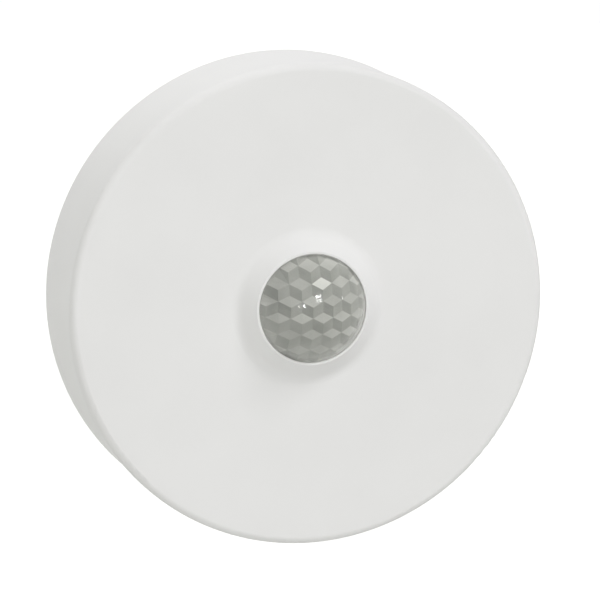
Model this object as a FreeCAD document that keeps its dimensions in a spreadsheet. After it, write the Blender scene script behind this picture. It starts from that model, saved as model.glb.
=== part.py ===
import FreeCAD, Part
import math
import os

import Sketcher

# Battery-powered motion and light sensor for a wall: a round white housing that twists off its wall
# plate, with a faceted infrared lens in a flared boss at its middle. Millimetres.
#
# Each piece is modelled lying on its back: X to the right, Y up the wall, Z out of the wall, with the
# origin at the middle of the wall plate's back face. stand_up() then turns it so that the wall plate's
# back faces +Y and the lens looks along -Y, with +Z up.

# Driving sizes, one cell of the sheet each.
SIZES = {
    # Outer form
    "lip_radius": 42.5,
    "front_room": 8.0,
    "rim_round": 1.3,
    "lip_back_bevel": 0.4,
    "lip_depth": 1.3,
    "shadow_gap": 0.4,
    "lip_overhang": 0.8,
    "drum_flare": 0.5,
    "drum_wall": 2.0,
    "wall_gap": 0.3,
    "cover_wall": 2.0,
    # Lens boss and lens
    "boss_height": 2.45,
    "boss_land": 0.35,
    "boss_slope": 40.0,
    "boss_foot_round": 2.6,
    "lens_radius": 9.6,
    "lens_fit": 0.05,
    "lens_sink": 0.15,
    "dome_height": 4.4,
    "lens_wall": 0.9,
    "lens_skirt_wall": 0.8,
    "lens_flange_width": 1.4,
    "lens_flange_thickness": 0.75,
    "ledge_drop": 1.9,
    "cell_pitch": 3.5,
    "facet_relief": 0.2,
    "facet_shift_x": -0.87,
    "facet_shift_y": 0.84,
    # Lens retainer and its screws
    "retainer_fit": 0.25,
    "retainer_wall": 1.6,
    "retainer_flange_thickness": 1.2,
    "retainer_flange_width": 3.1,
    "retainer_screw_gap": 4.5,
    "retainer_ear_radius": 2.7,
    "cover_boss_height": 2.5,
    "cover_boss_radius": 2.3,
    "screw_shank_radius": 1.0,
    "screw_head_radius": 1.9,
    "screw_head_height": 1.2,
    "screw_head_bevel": 0.5,
    "screw_length": 4.5,
    "screw_fit": 0.03,
    "screw_clearance": 0.2,
    # Snap skirt of the front cover
    "skirt_gap": 1.1,
    "skirt_wall": 1.4,
    "skirt_length": 2.5,
    "hook_length": 2.8,
    "hook_catch": 0.7,
    "hook_width_angle": 12.0,
    "catch_gap": 0.3,
    "catch_depth": 0.8,
    "cover_rib_width": 1.0,
    "cover_rib_height": 1.0,
    "cover_rib_gap": 1.2,
    # Housing floor, bayonet and wall plate
    "lug_gap": 0.6,
    "floor_thickness": 1.6,
    "seat_rim_width": 1.1,
    "plate_thickness": 2.6,
    "plate_radius_gap": 0.6,
    "plate_rim_inset": 0.6,
    "plate_rim_wall": 1.4,
    "bayonet_gap": 0.3,
    "hook_reach": 1.8,
    "lip_thickness": 0.9,
    "lug_reach": 1.7,
    "bayonet_ring_wall": 1.6,
    "lug_angle": 14.0,
    "hook_angle": 16.0,
    "stop_angle": 2.0,
    "stop_gap_angle": 1.0,
    "wall_screw_circle": 30.0,
    "wall_slot_radius": 2.2,
    "wall_slot_length": 7.0,
    "wall_recess_radius": 4.0,
    "wall_recess_depth": 1.4,
    "plate_bead_radius": 9.0,
    "plate_bead_width": 1.2,
    "plate_bead_height": 0.8,
    "plate_rib_length": 21.0,
    # Circuit board
    "board_gap": 1.2,
    "board_thickness": 1.6,
    "board_screw_inset": 7.0,
    "post_radius": 2.6,
    "board_notch_radius": 2.0,
    # Infrared detector
    "can_radius": 4.1,
    "can_height": 4.2,
    "can_wall": 0.25,
    "can_flange_width": 0.5,
    "can_flange_thickness": 0.35,
    "window_width": 4.0,
    "window_height": 3.0,
    "window_lap": 0.4,
    "window_thickness": 0.5,
    "header_thickness": 1.2,
    "header_fit": 0.03,
    "element_side": 3.2,
    "element_thickness": 0.6,
    "element_stand": 0.9,
    "lead_radius": 0.225,
    "lead_circle": 2.54,
    "lead_tail": 1.2,
    "lead_fit": 0.025,
    "spacer_height": 0.8,
    # Light sensor and status light
    "light_place": 6.9,
    "light_side": 2.0,
    "light_height": 0.9,
    "led_length": 2.0,
    "led_width": 1.25,
    "led_base_height": 0.5,
    "led_dome_radius": 0.55,
    # Coin cell and its holder
    "battery_stand": 0.5,
    "bay_margin": 1.2,
    "battery_radius": 12.25,
    "battery_height": 5.0,
    "battery_cap_inset": 1.85,
    "battery_cap_depth": 1.1,
    "battery_cap_rise": 0.5,
    "battery_seal_width": 0.6,
    "battery_bevel": 0.5,
    "battery_gap": 1.0,
    "holder_fit": 0.2,
    "holder_wall": 1.45,
    "holder_lip": 0.5,
    "holder_web": 0.7,
    "holder_lip_reach": 0.55,
    "holder_lip_angle": 40.0,
    "holder_window_length": 12.0,
    "holder_window_width": 5.0,
    "holder_notch_width": 6.0,
    "bay_gap": 0.3,
    "contact_thickness": 0.3,
    "contact_width": 3.4,
    "contact_foot": 3.0,
    # Reset key and switch
    "key_place_x": 15.0,
    "key_place_y": 13.0,
    "key_radius": 2.7,
    "key_fit": 0.08,
    "key_sink": 0.3,
    "key_flange_radius": 3.4,
    "key_flange_thickness": 0.5,
    "key_travel": 0.3,
    "switch_side": 4.6,
    "switch_height": 0.9,
    "switch_cover_thickness": 0.2,
    "plunger_radius": 1.1,
    "plunger_rise": 0.5,
    "plunger_depth": 0.4,
    "plunger_fit": 0.06,
    # Radio module
    "radio_inset": 13.0,
    "radio_chip_gap": 1.45,
    "radio_length": 16.0,
    "radio_width": 12.0,
    "radio_thickness": 0.8,
    "antenna_gap": 1.4,
    "shield_width": 10.0,
    "shield_height": 1.9,
    "shield_round": 0.6,
    "antenna_length": 5.2,
    "antenna_width": 1.6,
    "antenna_height": 1.1,
    # Other board parts
    "amplifier_inset": 18.0,
    "amplifier_y": 2.5,
    "amplifier_length": 4.9,
    "amplifier_width": 3.9,
    "amplifier_height": 1.45,
    "amplifier_stand": 0.1,
    "leg_pitch": 1.27,
    "leg_width": 0.42,
    "leg_thickness": 0.2,
    "leg_reach": 1.05,
    "capacitor_inset": 9.5,
    "capacitor_angle": 41.0,
    "capacitor_radius": 3.15,
    "capacitor_height": 4.9,
    "capacitor_groove": 0.25,
    "capacitor_base_side": 6.6,
    "capacitor_base_height": 0.7,
    "crystal_inset": 12.5,
    "crystal_angle": 125.0,
    "crystal_length": 3.2,
    "crystal_width": 2.5,
    "crystal_height": 0.8,
    "chip_length": 1.6,
    "chip_width": 0.8,
    "resistor_height": 0.45,
    "ceramic_height": 0.8,
}

HOOK_COUNT = 4
BAYONET_COUNT = 4
BAYONET_TURN = 45.0
RETAINER_SCREW_ANGLES = (90.0, 210.0, 330.0)
BOARD_SCREW_ANGLES = (90.0, 205.0, 335.0)
LEAD_ANGLES = (0.0, 90.0, 180.0)
COVER_RIB_COUNT = 6
SLOT_COUNT = 4
LEGS_PER_SIDE = 4
CELL_ROW_STEPS = 3

doc = FreeCAD.newDocument("MotionLightSensor")
sheet = doc.addObject("Spreadsheet::Sheet", "Sizes")
for row, (alias, value) in enumerate(SIZES.items(), start=1):
    sheet.set(f"A{row}", alias)
    sheet.set(f"B{row}", str(value))
    sheet.setAlias(f"B{row}", alias)
doc.recompute()


class Size:
    """A length or angle: its value now, and the expression over the sheet that gives it."""

    def __init__(self, value, text):
        self.value = value
        self.text = text

    def __add__(self, other):
        other = as_size(other)
        return Size(self.value + other.value, f"({self.text} + {other.text})")

    __radd__ = __add__

    def __sub__(self, other):
        other = as_size(other)
        return Size(self.value - other.value, f"({self.text} - {other.text})")

    def __rsub__(self, other):
        return as_size(other) - self

    def __mul__(self, other):
        other = as_size(other)
        return Size(self.value * other.value, f"({self.text} * {other.text})")

    __rmul__ = __mul__

    def __truediv__(self, other):
        other = as_size(other)
        return Size(self.value / other.value, f"({self.text} / {other.text})")

    def __neg__(self):
        return Size(-self.value, f"(0 - {self.text})")


class Sheet:
    """Sizes of the sheet by name, as in S.lip_radius."""

    def __getattr__(self, alias):
        return Size(float(sheet.get(alias)), f"Sizes.{alias}")


S = Sheet()


def as_size(number):
    """A plain number as a Size."""
    return number if isinstance(number, Size) else Size(float(number), repr(float(number)))


def sine(angle):
    """Sine of an angle in degrees."""
    angle = as_size(angle)
    return Size(math.sin(math.radians(angle.value)), f"sin({angle.text})")


def cosine(angle):
    """Cosine of an angle in degrees."""
    angle = as_size(angle)
    return Size(math.cos(math.radians(angle.value)), f"cos({angle.text})")


def polar(radius, angle, x=0.0, y=0.0):
    """Point at a radius and an angle in degrees about (x, y)."""
    return as_size(x) + radius * cosine(angle), as_size(y) + radius * sine(angle)


def turned(point, angle):
    """A point turned about the origin."""
    x, y = as_size(point[0]), as_size(point[1])
    return x * cosine(angle) - y * sine(angle), x * sine(angle) + y * cosine(angle)


def rectangle(x, y, length, width):
    """Corners of a rectangle about (x, y)."""
    left, right = x - as_size(length) / 2, x + as_size(length) / 2
    near, far = y - as_size(width) / 2, y + as_size(width) / 2
    return [(left, near), (right, near), (right, far), (left, far)]


def bind(thing, prop, size):
    """Tie one property of an object to the sheet."""
    thing.setExpression(prop, as_size(size).text)


# Bodies, sketches and features

def new_body(name):
    """An empty body whose label is the node's name."""
    body = doc.addObject("PartDesign::Body", name)
    body.Label = name
    return body


def origin_item(body, role):
    """Plane or axis of a body's own origin."""
    return [item for item in body.Origin.OriginFeatures if item.Role == role][0]


def new_sketch(body, name, plane, height=0.0, turn=0.0):
    """Sketch on an origin plane: lifted by height on XY, or turned about the Z axis on XZ."""
    sketch = body.newObject("Sketcher::SketchObject", name)
    sketch.AttachmentSupport = [(origin_item(body, plane), "")]
    sketch.MapMode = "FlatFace"
    lift = FreeCAD.Vector(0, 0, as_size(height).value)
    sketch.AttachmentOffset = FreeCAD.Placement(lift, FreeCAD.Rotation(FreeCAD.Vector(0, 1, 0), turn))
    if plane == "XY_Plane":
        bind(sketch, "AttachmentOffset.Base.z", height)
    return sketch


def pin_point(sketch, edge, end, x, y):
    """Fix one end of a sketch edge at (x, y), each tied to the sheet."""
    for kind, axis, size in (("DistanceX", -2, as_size(x)), ("DistanceY", -1, as_size(y))):
        if size.text == "0.0":
            sketch.addConstraint(Sketcher.Constraint("PointOnObject", edge, end, axis))
        else:
            index = sketch.addConstraint(Sketcher.Constraint(kind, -1, 1, edge, end, size.value))
            bind(sketch, f"Constraints[{index}]", size)


def draw_outline(sketch, corners):
    """Closed outline through the corners, each (x, y), or (x, y, radius, side) where an arc leaves it,
    with side +1 if the arc's middle lies to the left of the way to the next corner."""
    ends = []
    count = len(corners)
    for i in range(count):
        x, y, *arc = corners[i]
        start = FreeCAD.Vector(as_size(x).value, as_size(y).value, 0)
        following = corners[(i + 1) % count]
        stop = FreeCAD.Vector(as_size(following[0]).value, as_size(following[1]).value, 0)
        if arc:
            radius, side = as_size(arc[0]), arc[1]
            half = (stop - start) * 0.5
            rise = math.sqrt(max(radius.value ** 2 - half.Length ** 2, 0.0))
            left = FreeCAD.Vector(-half.y, half.x, 0).normalize()
            middle = start + half + left * rise * side
            first, last = (start, stop) if side > 0 else (stop, start)
            first_angle = math.atan2(first.y - middle.y, first.x - middle.x)
            last_angle = math.atan2(last.y - middle.y, last.x - middle.x)
            circle = Part.Circle(middle, FreeCAD.Vector(0, 0, 1), radius.value)
            edge = sketch.addGeometry(Part.ArcOfCircle(circle, first_angle, last_angle), False)
            ends.append((edge, 1, 2) if side > 0 else (edge, 2, 1))
            index = sketch.addConstraint(Sketcher.Constraint("Radius", edge, radius.value))
            bind(sketch, f"Constraints[{index}]", radius)
        else:
            edge = sketch.addGeometry(Part.LineSegment(start, stop), False)
            ends.append((edge, 1, 2))
    for i in range(count):
        edge, begin, finish = ends[i]
        next_edge, next_begin, _ = ends[(i + 1) % count]
        sketch.addConstraint(Sketcher.Constraint("Coincident", edge, finish, next_edge, next_begin))
        pin_point(sketch, edge, begin, *corners[i][:2])


def draw_circle(sketch, x, y, radius):
    """Circle at (x, y)."""
    middle = FreeCAD.Vector(as_size(x).value, as_size(y).value, 0)
    circle = Part.Circle(middle, FreeCAD.Vector(0, 0, 1), as_size(radius).value)
    edge = sketch.addGeometry(circle, False)
    index = sketch.addConstraint(Sketcher.Constraint("Radius", edge, as_size(radius).value))
    bind(sketch, f"Constraints[{index}]", radius)
    pin_point(sketch, edge, 3, x, y)


def draw_slot(sketch, near, far, radius):
    """Slot along X, round about (near, 0) and (far, 0)."""
    near, far, radius = as_size(near), as_size(far), as_size(radius)
    normal = FreeCAD.Vector(0, 0, 1)
    arcs = []
    for middle, first_angle in ((far, -math.pi / 2), (near, math.pi / 2)):
        circle = Part.Circle(FreeCAD.Vector(middle.value, 0, 0), normal, radius.value)
        arc = sketch.addGeometry(Part.ArcOfCircle(circle, first_angle, first_angle + math.pi), False)
        pin_point(sketch, arc, 3, middle, 0.0)
        index = sketch.addConstraint(Sketcher.Constraint("Radius", arc, radius.value))
        bind(sketch, f"Constraints[{index}]", radius)
        arcs.append(arc)
    for first, second in ((arcs[0], arcs[1]), (arcs[1], arcs[0])):
        start = sketch.getPoint(first, 2)
        stop = sketch.getPoint(second, 1)
        side = sketch.addGeometry(Part.LineSegment(start, stop), False)
        sketch.addConstraint(Sketcher.Constraint("Tangent", first, 2, side, 1))
        sketch.addConstraint(Sketcher.Constraint("Tangent", side, 2, second, 1))


def revolve(body, name, corners, angle=None, turn=0.0):
    """Solid of revolution about Z from an outline in (radius, height), whole or over an angle that is
    centred on the direction turn."""
    sketch = new_sketch(body, name + "_outline", "XZ_Plane", turn=turn)
    draw_outline(sketch, corners)
    feature = body.newObject("PartDesign::Revolution", name)
    feature.Profile = (sketch, [""])
    feature.ReferenceAxis = (sketch, ["V_Axis"])
    if angle is None:
        feature.Angle = 360
    else:
        feature.Midplane = True
        bind(feature, "Angle", angle)
    return feature


def pad(body, name, draw, height, length, *shape):
    """Pad upwards from a height, with the outline that draw makes from shape."""
    sketch = new_sketch(body, name + "_outline", "XY_Plane", height)
    draw(sketch, *shape)
    feature = body.newObject("PartDesign::Pad", name)
    feature.Profile = (sketch, [""])
    bind(feature, "Length", length)
    return feature


def pocket(body, name, draw, height, depth, *shape, upwards=False):
    """Pocket from a height, downwards unless told otherwise."""
    sketch = new_sketch(body, name + "_outline", "XY_Plane", height)
    draw(sketch, *shape)
    feature = body.newObject("PartDesign::Pocket", name)
    feature.Profile = (sketch, [""])
    feature.Reversed = upwards
    bind(feature, "Length", depth)
    return feature


def repeat_round(body, name, features, count):
    """Repeat features evenly about Z."""
    pattern = body.newObject("PartDesign::PolarPattern", name)
    pattern.Originals = features
    pattern.Axis = (origin_item(body, "Z_Axis"), [""])
    pattern.Angle = 360
    pattern.Occurrences = count
    body.Tip = pattern
    return pattern


def slab(name, x, y, z, length, width, height):
    """Body of one rectangular pad about (x, y) from z."""
    body = new_body(name)
    pad(body, name + "_block", draw_outline, z, height, rectangle(x, y, length, width))
    return body


def disc(name, x, y, z, radius, height):
    """Body of one round pad about (x, y) from z."""
    body = new_body(name)
    pad(body, name + "_round", draw_circle, z, height, x, y, radius)
    return body


def box(name, x, y, z, length, width, height):
    """Box whose middle in X and Y is at (x, y) and whose underside is at z."""
    solid = doc.addObject("Part::Box", name)
    bind(solid, "Length", length)
    bind(solid, "Width", width)
    bind(solid, "Height", height)
    bind(solid, "Placement.Base.x", x - as_size(length) / 2)
    bind(solid, "Placement.Base.y", y - as_size(width) / 2)
    bind(solid, "Placement.Base.z", z)
    return solid


def cylinder(name, x, y, z, radius, height):
    """Upright cylinder on (x, y) from z."""
    solid = doc.addObject("Part::Cylinder", name)
    bind(solid, "Radius", radius)
    bind(solid, "Height", height)
    bind(solid, "Placement.Base.x", x)
    bind(solid, "Placement.Base.y", y)
    bind(solid, "Placement.Base.z", z)
    return solid


def cut(name, base, tool):
    """Base less tool."""
    result = doc.addObject("Part::Cut", name)
    result.Base = base
    result.Tool = tool
    return result


def fuse(name, shapes):
    """Shapes made one."""
    result = doc.addObject("Part::MultiFuse", name)
    result.Shapes = shapes
    return result


def group(name, pieces):
    """Separate solids kept in one node."""
    result = doc.addObject("Part::Compound", name)
    result.Links = pieces
    return result


nodes = []


def stand_up(piece, x=0.0, y=0.0, z=0.0):
    """Turn a finished piece from lying on its back to hanging on the wall, at (x, y, z) of the model."""
    piece.Placement = FreeCAD.Placement(
        FreeCAD.Vector(0, 0, 0), FreeCAD.Rotation(FreeCAD.Vector(1, 0, 0), 90)
    )
    bind(piece, "Placement.Base.x", x)
    bind(piece, "Placement.Base.y", -as_size(z))
    bind(piece, "Placement.Base.z", y)
    piece.Label = piece.Name
    nodes.append(piece)


# Heights and radii that several pieces share

floor_height = S.plate_thickness + S.lug_gap + 2 * S.lip_thickness + 2 * S.bayonet_gap
floor_top = floor_height + S.floor_thickness
cell_back = S.plate_thickness + S.plate_bead_height + S.battery_stand + S.holder_lip
board_height = cell_back + S.battery_height + S.battery_gap
board_top = board_height + S.board_thickness
rim_height = board_top + S.front_room
face_height = rim_height + S.rim_round
cover_underside = face_height - S.cover_wall
lip_underside = rim_height - S.lip_depth
drum_top = lip_underside - S.shadow_gap
boss_top = face_height + S.boss_height
lens_opening = S.lens_radius + S.lens_fit
boss_top_radius = lens_opening + S.boss_land
ledge_height = boss_top - S.ledge_drop
flange_radius = S.lens_radius + S.lens_flange_width
lens_bottom = ledge_height - S.lens_flange_thickness
retainer_radius = flange_radius - S.retainer_fit / 2
recess_radius = flange_radius + S.retainer_fit / 2
retainer_seat = cover_underside - S.cover_boss_height
retainer_screw_circle = flange_radius + S.retainer_screw_gap
drum_front_radius = S.lip_radius - S.lip_overhang
drum_back_radius = drum_front_radius + S.drum_flare
drum_bore = drum_front_radius - S.drum_wall
skirt_outside = drum_bore - S.skirt_gap
skirt_inside = skirt_outside - S.skirt_wall
skirt_bottom = lip_underside - S.skirt_length
catch_bottom = skirt_bottom - S.catch_depth
recess_bore = drum_back_radius - S.drum_wall
plate_radius = recess_bore - S.plate_radius_gap
plate_rim_outside = plate_radius - S.plate_rim_inset
plate_rim_inside = plate_rim_outside - S.plate_rim_wall
hook_top = floor_height - S.bayonet_gap
hook_underside = hook_top - S.lip_thickness
lug_top = hook_underside - S.bayonet_gap
lug_bottom = lug_top - S.lip_thickness
hook_inside = plate_rim_inside - S.hook_reach
lug_outside = plate_rim_inside - 2 * S.bayonet_gap
bayonet_ring_outside = lug_outside - S.lug_reach
bayonet_ring_inside = bayonet_ring_outside - S.bayonet_ring_wall
bay_radius = S.battery_radius + S.holder_fit + S.holder_wall + S.bay_gap
battery_y = bay_radius + S.bay_margin - bayonet_ring_inside
board_radius = skirt_inside - S.board_gap
board_screw_circle = board_radius - S.board_screw_inset
can_flange_radius = S.can_radius + S.can_flange_width
radio_x = S.radio_inset - board_radius
amplifier_x = board_radius - S.amplifier_inset
capacitor_x, capacitor_y = polar(board_radius - S.capacitor_inset, S.capacitor_angle)
crystal_x, crystal_y = polar(board_radius - S.crystal_inset, S.crystal_angle)
chip_step = 2 * S.chip_length
ceramic_y = crystal_y - 2 * chip_step
radio_y = ceramic_y - (S.chip_width + S.radio_width) / 2 - S.radio_chip_gap


def make_front_cover():
    """Front disc with its rolled lip, the flared lens boss, snap skirt, ribs and screw bosses."""
    body = new_body("front_cover")
    slope_drop = S.boss_foot_round * (1 - cosine(S.boss_slope))
    flank_run = (S.boss_height - slope_drop) * cosine(S.boss_slope) / sine(S.boss_slope)
    flank_end = boss_top_radius + flank_run
    boss_foot = flank_end + S.boss_foot_round * sine(S.boss_slope)
    outline = [
        (recess_radius, cover_underside),
        (recess_radius, ledge_height),
        (lens_opening, ledge_height),
        (lens_opening, boss_top),
        (boss_top_radius, boss_top),
        (flank_end, face_height + slope_drop, S.boss_foot_round, 1),
        (boss_foot, face_height),
        (S.lip_radius - S.rim_round, face_height, S.rim_round, -1),
        (S.lip_radius, rim_height),
        (S.lip_radius, lip_underside + S.lip_back_bevel),
        (S.lip_radius - S.lip_back_bevel, lip_underside),
        (skirt_outside, lip_underside),
        (skirt_outside, skirt_bottom),
        (skirt_inside, skirt_bottom),
        (skirt_inside, cover_underside),
    ]
    revolve(body, "disc", outline)

    hook_bottom = skirt_bottom - S.hook_length
    barb_top = catch_bottom - S.bayonet_gap
    hook = revolve(
        body,
        "snap_hook",
        [
            (skirt_inside, skirt_bottom + S.skirt_wall),
            (skirt_outside, skirt_bottom + S.skirt_wall),
            (skirt_outside, barb_top),
            (skirt_outside + S.hook_catch, barb_top),
            (skirt_outside, hook_bottom),
            (skirt_inside, hook_bottom),
        ],
        angle=S.hook_width_angle,
    )
    repeat_round(body, "snap_hooks", [hook], HOOK_COUNT)

    rib_start = retainer_screw_circle + S.cover_boss_radius + S.cover_rib_gap
    rib_half = S.cover_rib_width / 2
    rib_end = skirt_inside + S.skirt_wall / 2
    rib_outline = [(rib_start, -rib_half), (rib_end, -rib_half), (rib_end, rib_half), (rib_start, rib_half)]
    rib = pad(
        body,
        "cover_rib",
        draw_outline,
        cover_underside - S.cover_rib_height,
        S.cover_rib_height + S.cover_wall / 2,
        rib_outline,
    )
    repeat_round(body, "cover_ribs", [rib], COVER_RIB_COUNT)

    for index, angle in enumerate(RETAINER_SCREW_ANGLES):
        x, y = polar(retainer_screw_circle, angle)
        pad(
            body,
            f"screw_boss_{index}",
            draw_circle,
            retainer_seat,
            S.cover_boss_height + S.cover_wall / 2,
            x,
            y,
            S.cover_boss_radius,
        )
        pocket(
            body,
            f"pilot_hole_{index}",
            draw_circle,
            retainer_seat,
            S.screw_length - S.retainer_flange_thickness + S.screw_clearance,
            x,
            y,
            S.screw_shank_radius + S.screw_fit,
            upwards=True,
        )
    stand_up(body)


def make_housing():
    """Side wall and floor in one moulding, with the bayonet ring, board posts and battery opening."""
    body = new_body("housing")
    revolve(
        body,
        "drum",
        [
            (0.0, floor_height),
            (bayonet_ring_inside, floor_height),
            (bayonet_ring_inside, lug_bottom),
            (bayonet_ring_outside, lug_bottom),
            (bayonet_ring_outside, floor_height),
            (recess_bore, floor_height),
            (recess_bore, S.wall_gap),
            (drum_back_radius, S.wall_gap),
            (drum_front_radius, drum_top),
            (drum_bore + S.seat_rim_width, drum_top),
            (drum_bore + S.seat_rim_width, lip_underside),
            (drum_bore, lip_underside),
            (drum_bore, floor_top),
            (0.0, floor_top),
        ],
    )
    catch_inside = skirt_outside + S.catch_gap
    catch = revolve(
        body,
        "snap_catch",
        [
            (catch_inside, catch_bottom),
            (drum_bore + S.drum_wall / 2, catch_bottom),
            (drum_bore + S.drum_wall / 2, skirt_bottom + S.catch_depth),
            (drum_bore, skirt_bottom + S.catch_depth),
            (catch_inside, skirt_bottom),
        ],
        angle=S.hook_width_angle + S.stop_angle,
    )
    repeat_round(body, "snap_catches", [catch], HOOK_COUNT)

    lug = revolve(
        body,
        "bayonet_lug",
        [
            (bayonet_ring_inside + S.bayonet_ring_wall / 2, lug_bottom),
            (lug_outside, lug_bottom),
            (lug_outside, lug_top),
            (bayonet_ring_inside + S.bayonet_ring_wall / 2, lug_top),
        ],
        angle=S.lug_angle,
        turn=BAYONET_TURN,
    )
    repeat_round(body, "bayonet_lugs", [lug], BAYONET_COUNT)

    for index, angle in enumerate(BOARD_SCREW_ANGLES):
        x, y = polar(board_screw_circle, angle)
        post_height = board_height - floor_top
        pad(
            body,
            f"board_post_{index}",
            draw_circle,
            floor_top - S.floor_thickness / 2,
            post_height + S.floor_thickness / 2,
            x,
            y,
            S.post_radius,
        )
        pocket(
            body,
            f"post_hole_{index}",
            draw_circle,
            board_height,
            S.screw_length - S.board_thickness + S.screw_clearance,
            x,
            y,
            S.screw_shank_radius + S.screw_fit,
        )
    pocket(
        body,
        "battery_bay",
        draw_circle,
        floor_top,
        S.floor_thickness,
        0.0,
        battery_y,
        bay_radius,
    )
    pocket(
        body,
        "key_hole",
        draw_circle,
        floor_top,
        S.floor_thickness,
        S.key_place_x,
        S.key_place_y,
        S.key_radius + S.key_fit,
    )
    stand_up(body)


def make_wall_plate():
    """Plate that stays on the wall: bayonet hooks on a rim, stops, and slots for two pairs of screws."""
    body = new_body("wall_plate")
    bead_outside = S.plate_bead_radius + S.plate_bead_width
    bead_top = S.plate_thickness + S.plate_bead_height
    revolve(
        body,
        "plate",
        [
            (0.0, 0.0),
            (plate_radius, 0.0),
            (plate_radius, S.plate_thickness),
            (plate_rim_outside, S.plate_thickness),
            (plate_rim_outside, hook_top),
            (plate_rim_inside, hook_top),
            (plate_rim_inside, S.plate_thickness),
            (bead_outside, S.plate_thickness),
            (bead_outside, bead_top),
            (S.plate_bead_radius, bead_top),
            (S.plate_bead_radius, S.plate_thickness),
            (0.0, S.plate_thickness),
        ],
    )
    rim_middle = plate_rim_inside + S.plate_rim_wall / 2
    hook = revolve(
        body,
        "bayonet_hook",
        [
            (hook_inside, hook_underside),
            (rim_middle, hook_underside),
            (rim_middle, hook_top),
            (hook_inside, hook_top),
        ],
        angle=S.hook_angle,
        turn=BAYONET_TURN,
    )
    stop_turn = BAYONET_TURN - (S.lug_angle.value + S.stop_angle.value) / 2 - S.stop_gap_angle.value
    stop = revolve(
        body,
        "bayonet_stop",
        [
            (hook_inside, S.plate_thickness / 2),
            (rim_middle, S.plate_thickness / 2),
            (rim_middle, hook_top),
            (hook_inside, hook_top),
        ],
        angle=S.stop_angle,
        turn=stop_turn,
    )
    repeat_round(body, "bayonet_hooks", [hook, stop], BAYONET_COUNT)

    rib_half = S.plate_bead_width / 2
    rib_start = S.plate_bead_radius + rib_half
    rib_end = rib_start + S.plate_rib_length
    corners = [(rib_start, -rib_half), (rib_end, -rib_half), (rib_end, rib_half), (rib_start, rib_half)]
    rib_corners = [turned(corner, BAYONET_TURN) for corner in corners]
    rib = pad(
        body,
        "plate_rib",
        draw_outline,
        S.plate_thickness / 2,
        S.plate_thickness / 2 + S.plate_bead_height,
        rib_corners,
    )
    repeat_round(body, "plate_ribs", [rib], BAYONET_COUNT)

    half_run = S.wall_slot_length / 2 - S.wall_slot_radius
    near = S.wall_screw_circle - half_run
    far = S.wall_screw_circle + half_run
    slot = pocket(
        body,
        "wall_slot",
        draw_slot,
        S.plate_thickness,
        S.plate_thickness,
        near,
        far,
        S.wall_slot_radius,
    )
    recess = pocket(
        body,
        "head_recess",
        draw_slot,
        S.plate_thickness,
        S.wall_recess_depth,
        near,
        far,
        S.wall_recess_radius,
    )
    repeat_round(body, "wall_slots", [slot, recess], SLOT_COUNT)
    stand_up(body)


def dome_radius():
    """Radius of the sphere that the outside of the lens follows."""
    return (S.lens_radius * S.lens_radius + S.dome_height * S.dome_height) / (2 * S.dome_height)


def facet_cavity():
    """Solid whose top is the faceted inside of the lens: hexagonal cells, each split into three rhombs
    that meet in a point, laid over a sphere. Corners and middles of the cells lie on a lattice of whole
    steps, half a pitch wide and half a cell's side high."""
    step_x = S.cell_pitch.value / 2
    step_y = S.cell_pitch.value / math.sqrt(3) / 2
    inner_radius = dome_radius().value - S.lens_wall.value
    sphere_middle = boss_top.value - S.lens_sink.value + S.dome_height.value - dome_radius().value
    reach = S.lens_radius.value + S.cell_pitch.value
    base_height = retainer_seat.value
    corner_steps = ((1, 1), (0, 2), (-1, 1), (-1, -1), (0, -2), (1, -1))

    def placed(across, along, offset):
        """Point of the lattice that stands off the sphere by offset."""
        x = across * step_x + S.facet_shift_x.value
        y = along * step_y + S.facet_shift_y.value
        flat = min(math.hypot(x, y), inner_radius * 0.95)
        height = math.sqrt((inner_radius + offset) ** 2 - flat ** 2)
        return FreeCAD.Vector(x, y, sphere_middle + height)

    def lowered(point):
        """The point straight below, on the cavity's flat bottom."""
        return FreeCAD.Vector(point.x, point.y, base_height)

    faces = []
    walls = {}
    rows = math.ceil(reach / (CELL_ROW_STEPS * step_y))
    columns = math.ceil(reach / S.cell_pitch.value)
    for row in range(-rows, rows + 1):
        for column in range(-columns, columns + 1):
            across, along = 2 * column + row % 2, CELL_ROW_STEPS * row
            middle = placed(across, along, S.facet_relief.value)
            if math.hypot(middle.x, middle.y) > reach:
                continue
            places = [(across + right, along + up) for right, up in corner_steps]
            corners = [placed(*place, -S.facet_relief.value * (k % 2)) for k, place in enumerate(places)]
            for k in (0, 2, 4):
                tip = corners[k + 1]
                for side in (corners[k], corners[(k + 2) % 6]):
                    faces.append(Part.Face(Part.makePolygon([middle, side, tip, middle])))
            for k in range(6):
                key = frozenset((places[k], places[(k + 1) % 6]))
                if key in walls:
                    del walls[key]
                else:
                    walls[key] = (corners[k], corners[(k + 1) % 6])

    bottom_edges = []
    for first, second in walls.values():
        faces.append(Part.Face(Part.makePolygon([first, second, lowered(second), lowered(first), first])))
        bottom_edges.append(Part.makeLine(lowered(first), lowered(second)))
    faces.append(Part.Face(Part.Wire(Part.__sortEdges__(bottom_edges))))
    shell = Part.Shell(faces)
    shell.sewShape()
    return Part.Solid(shell)


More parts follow.
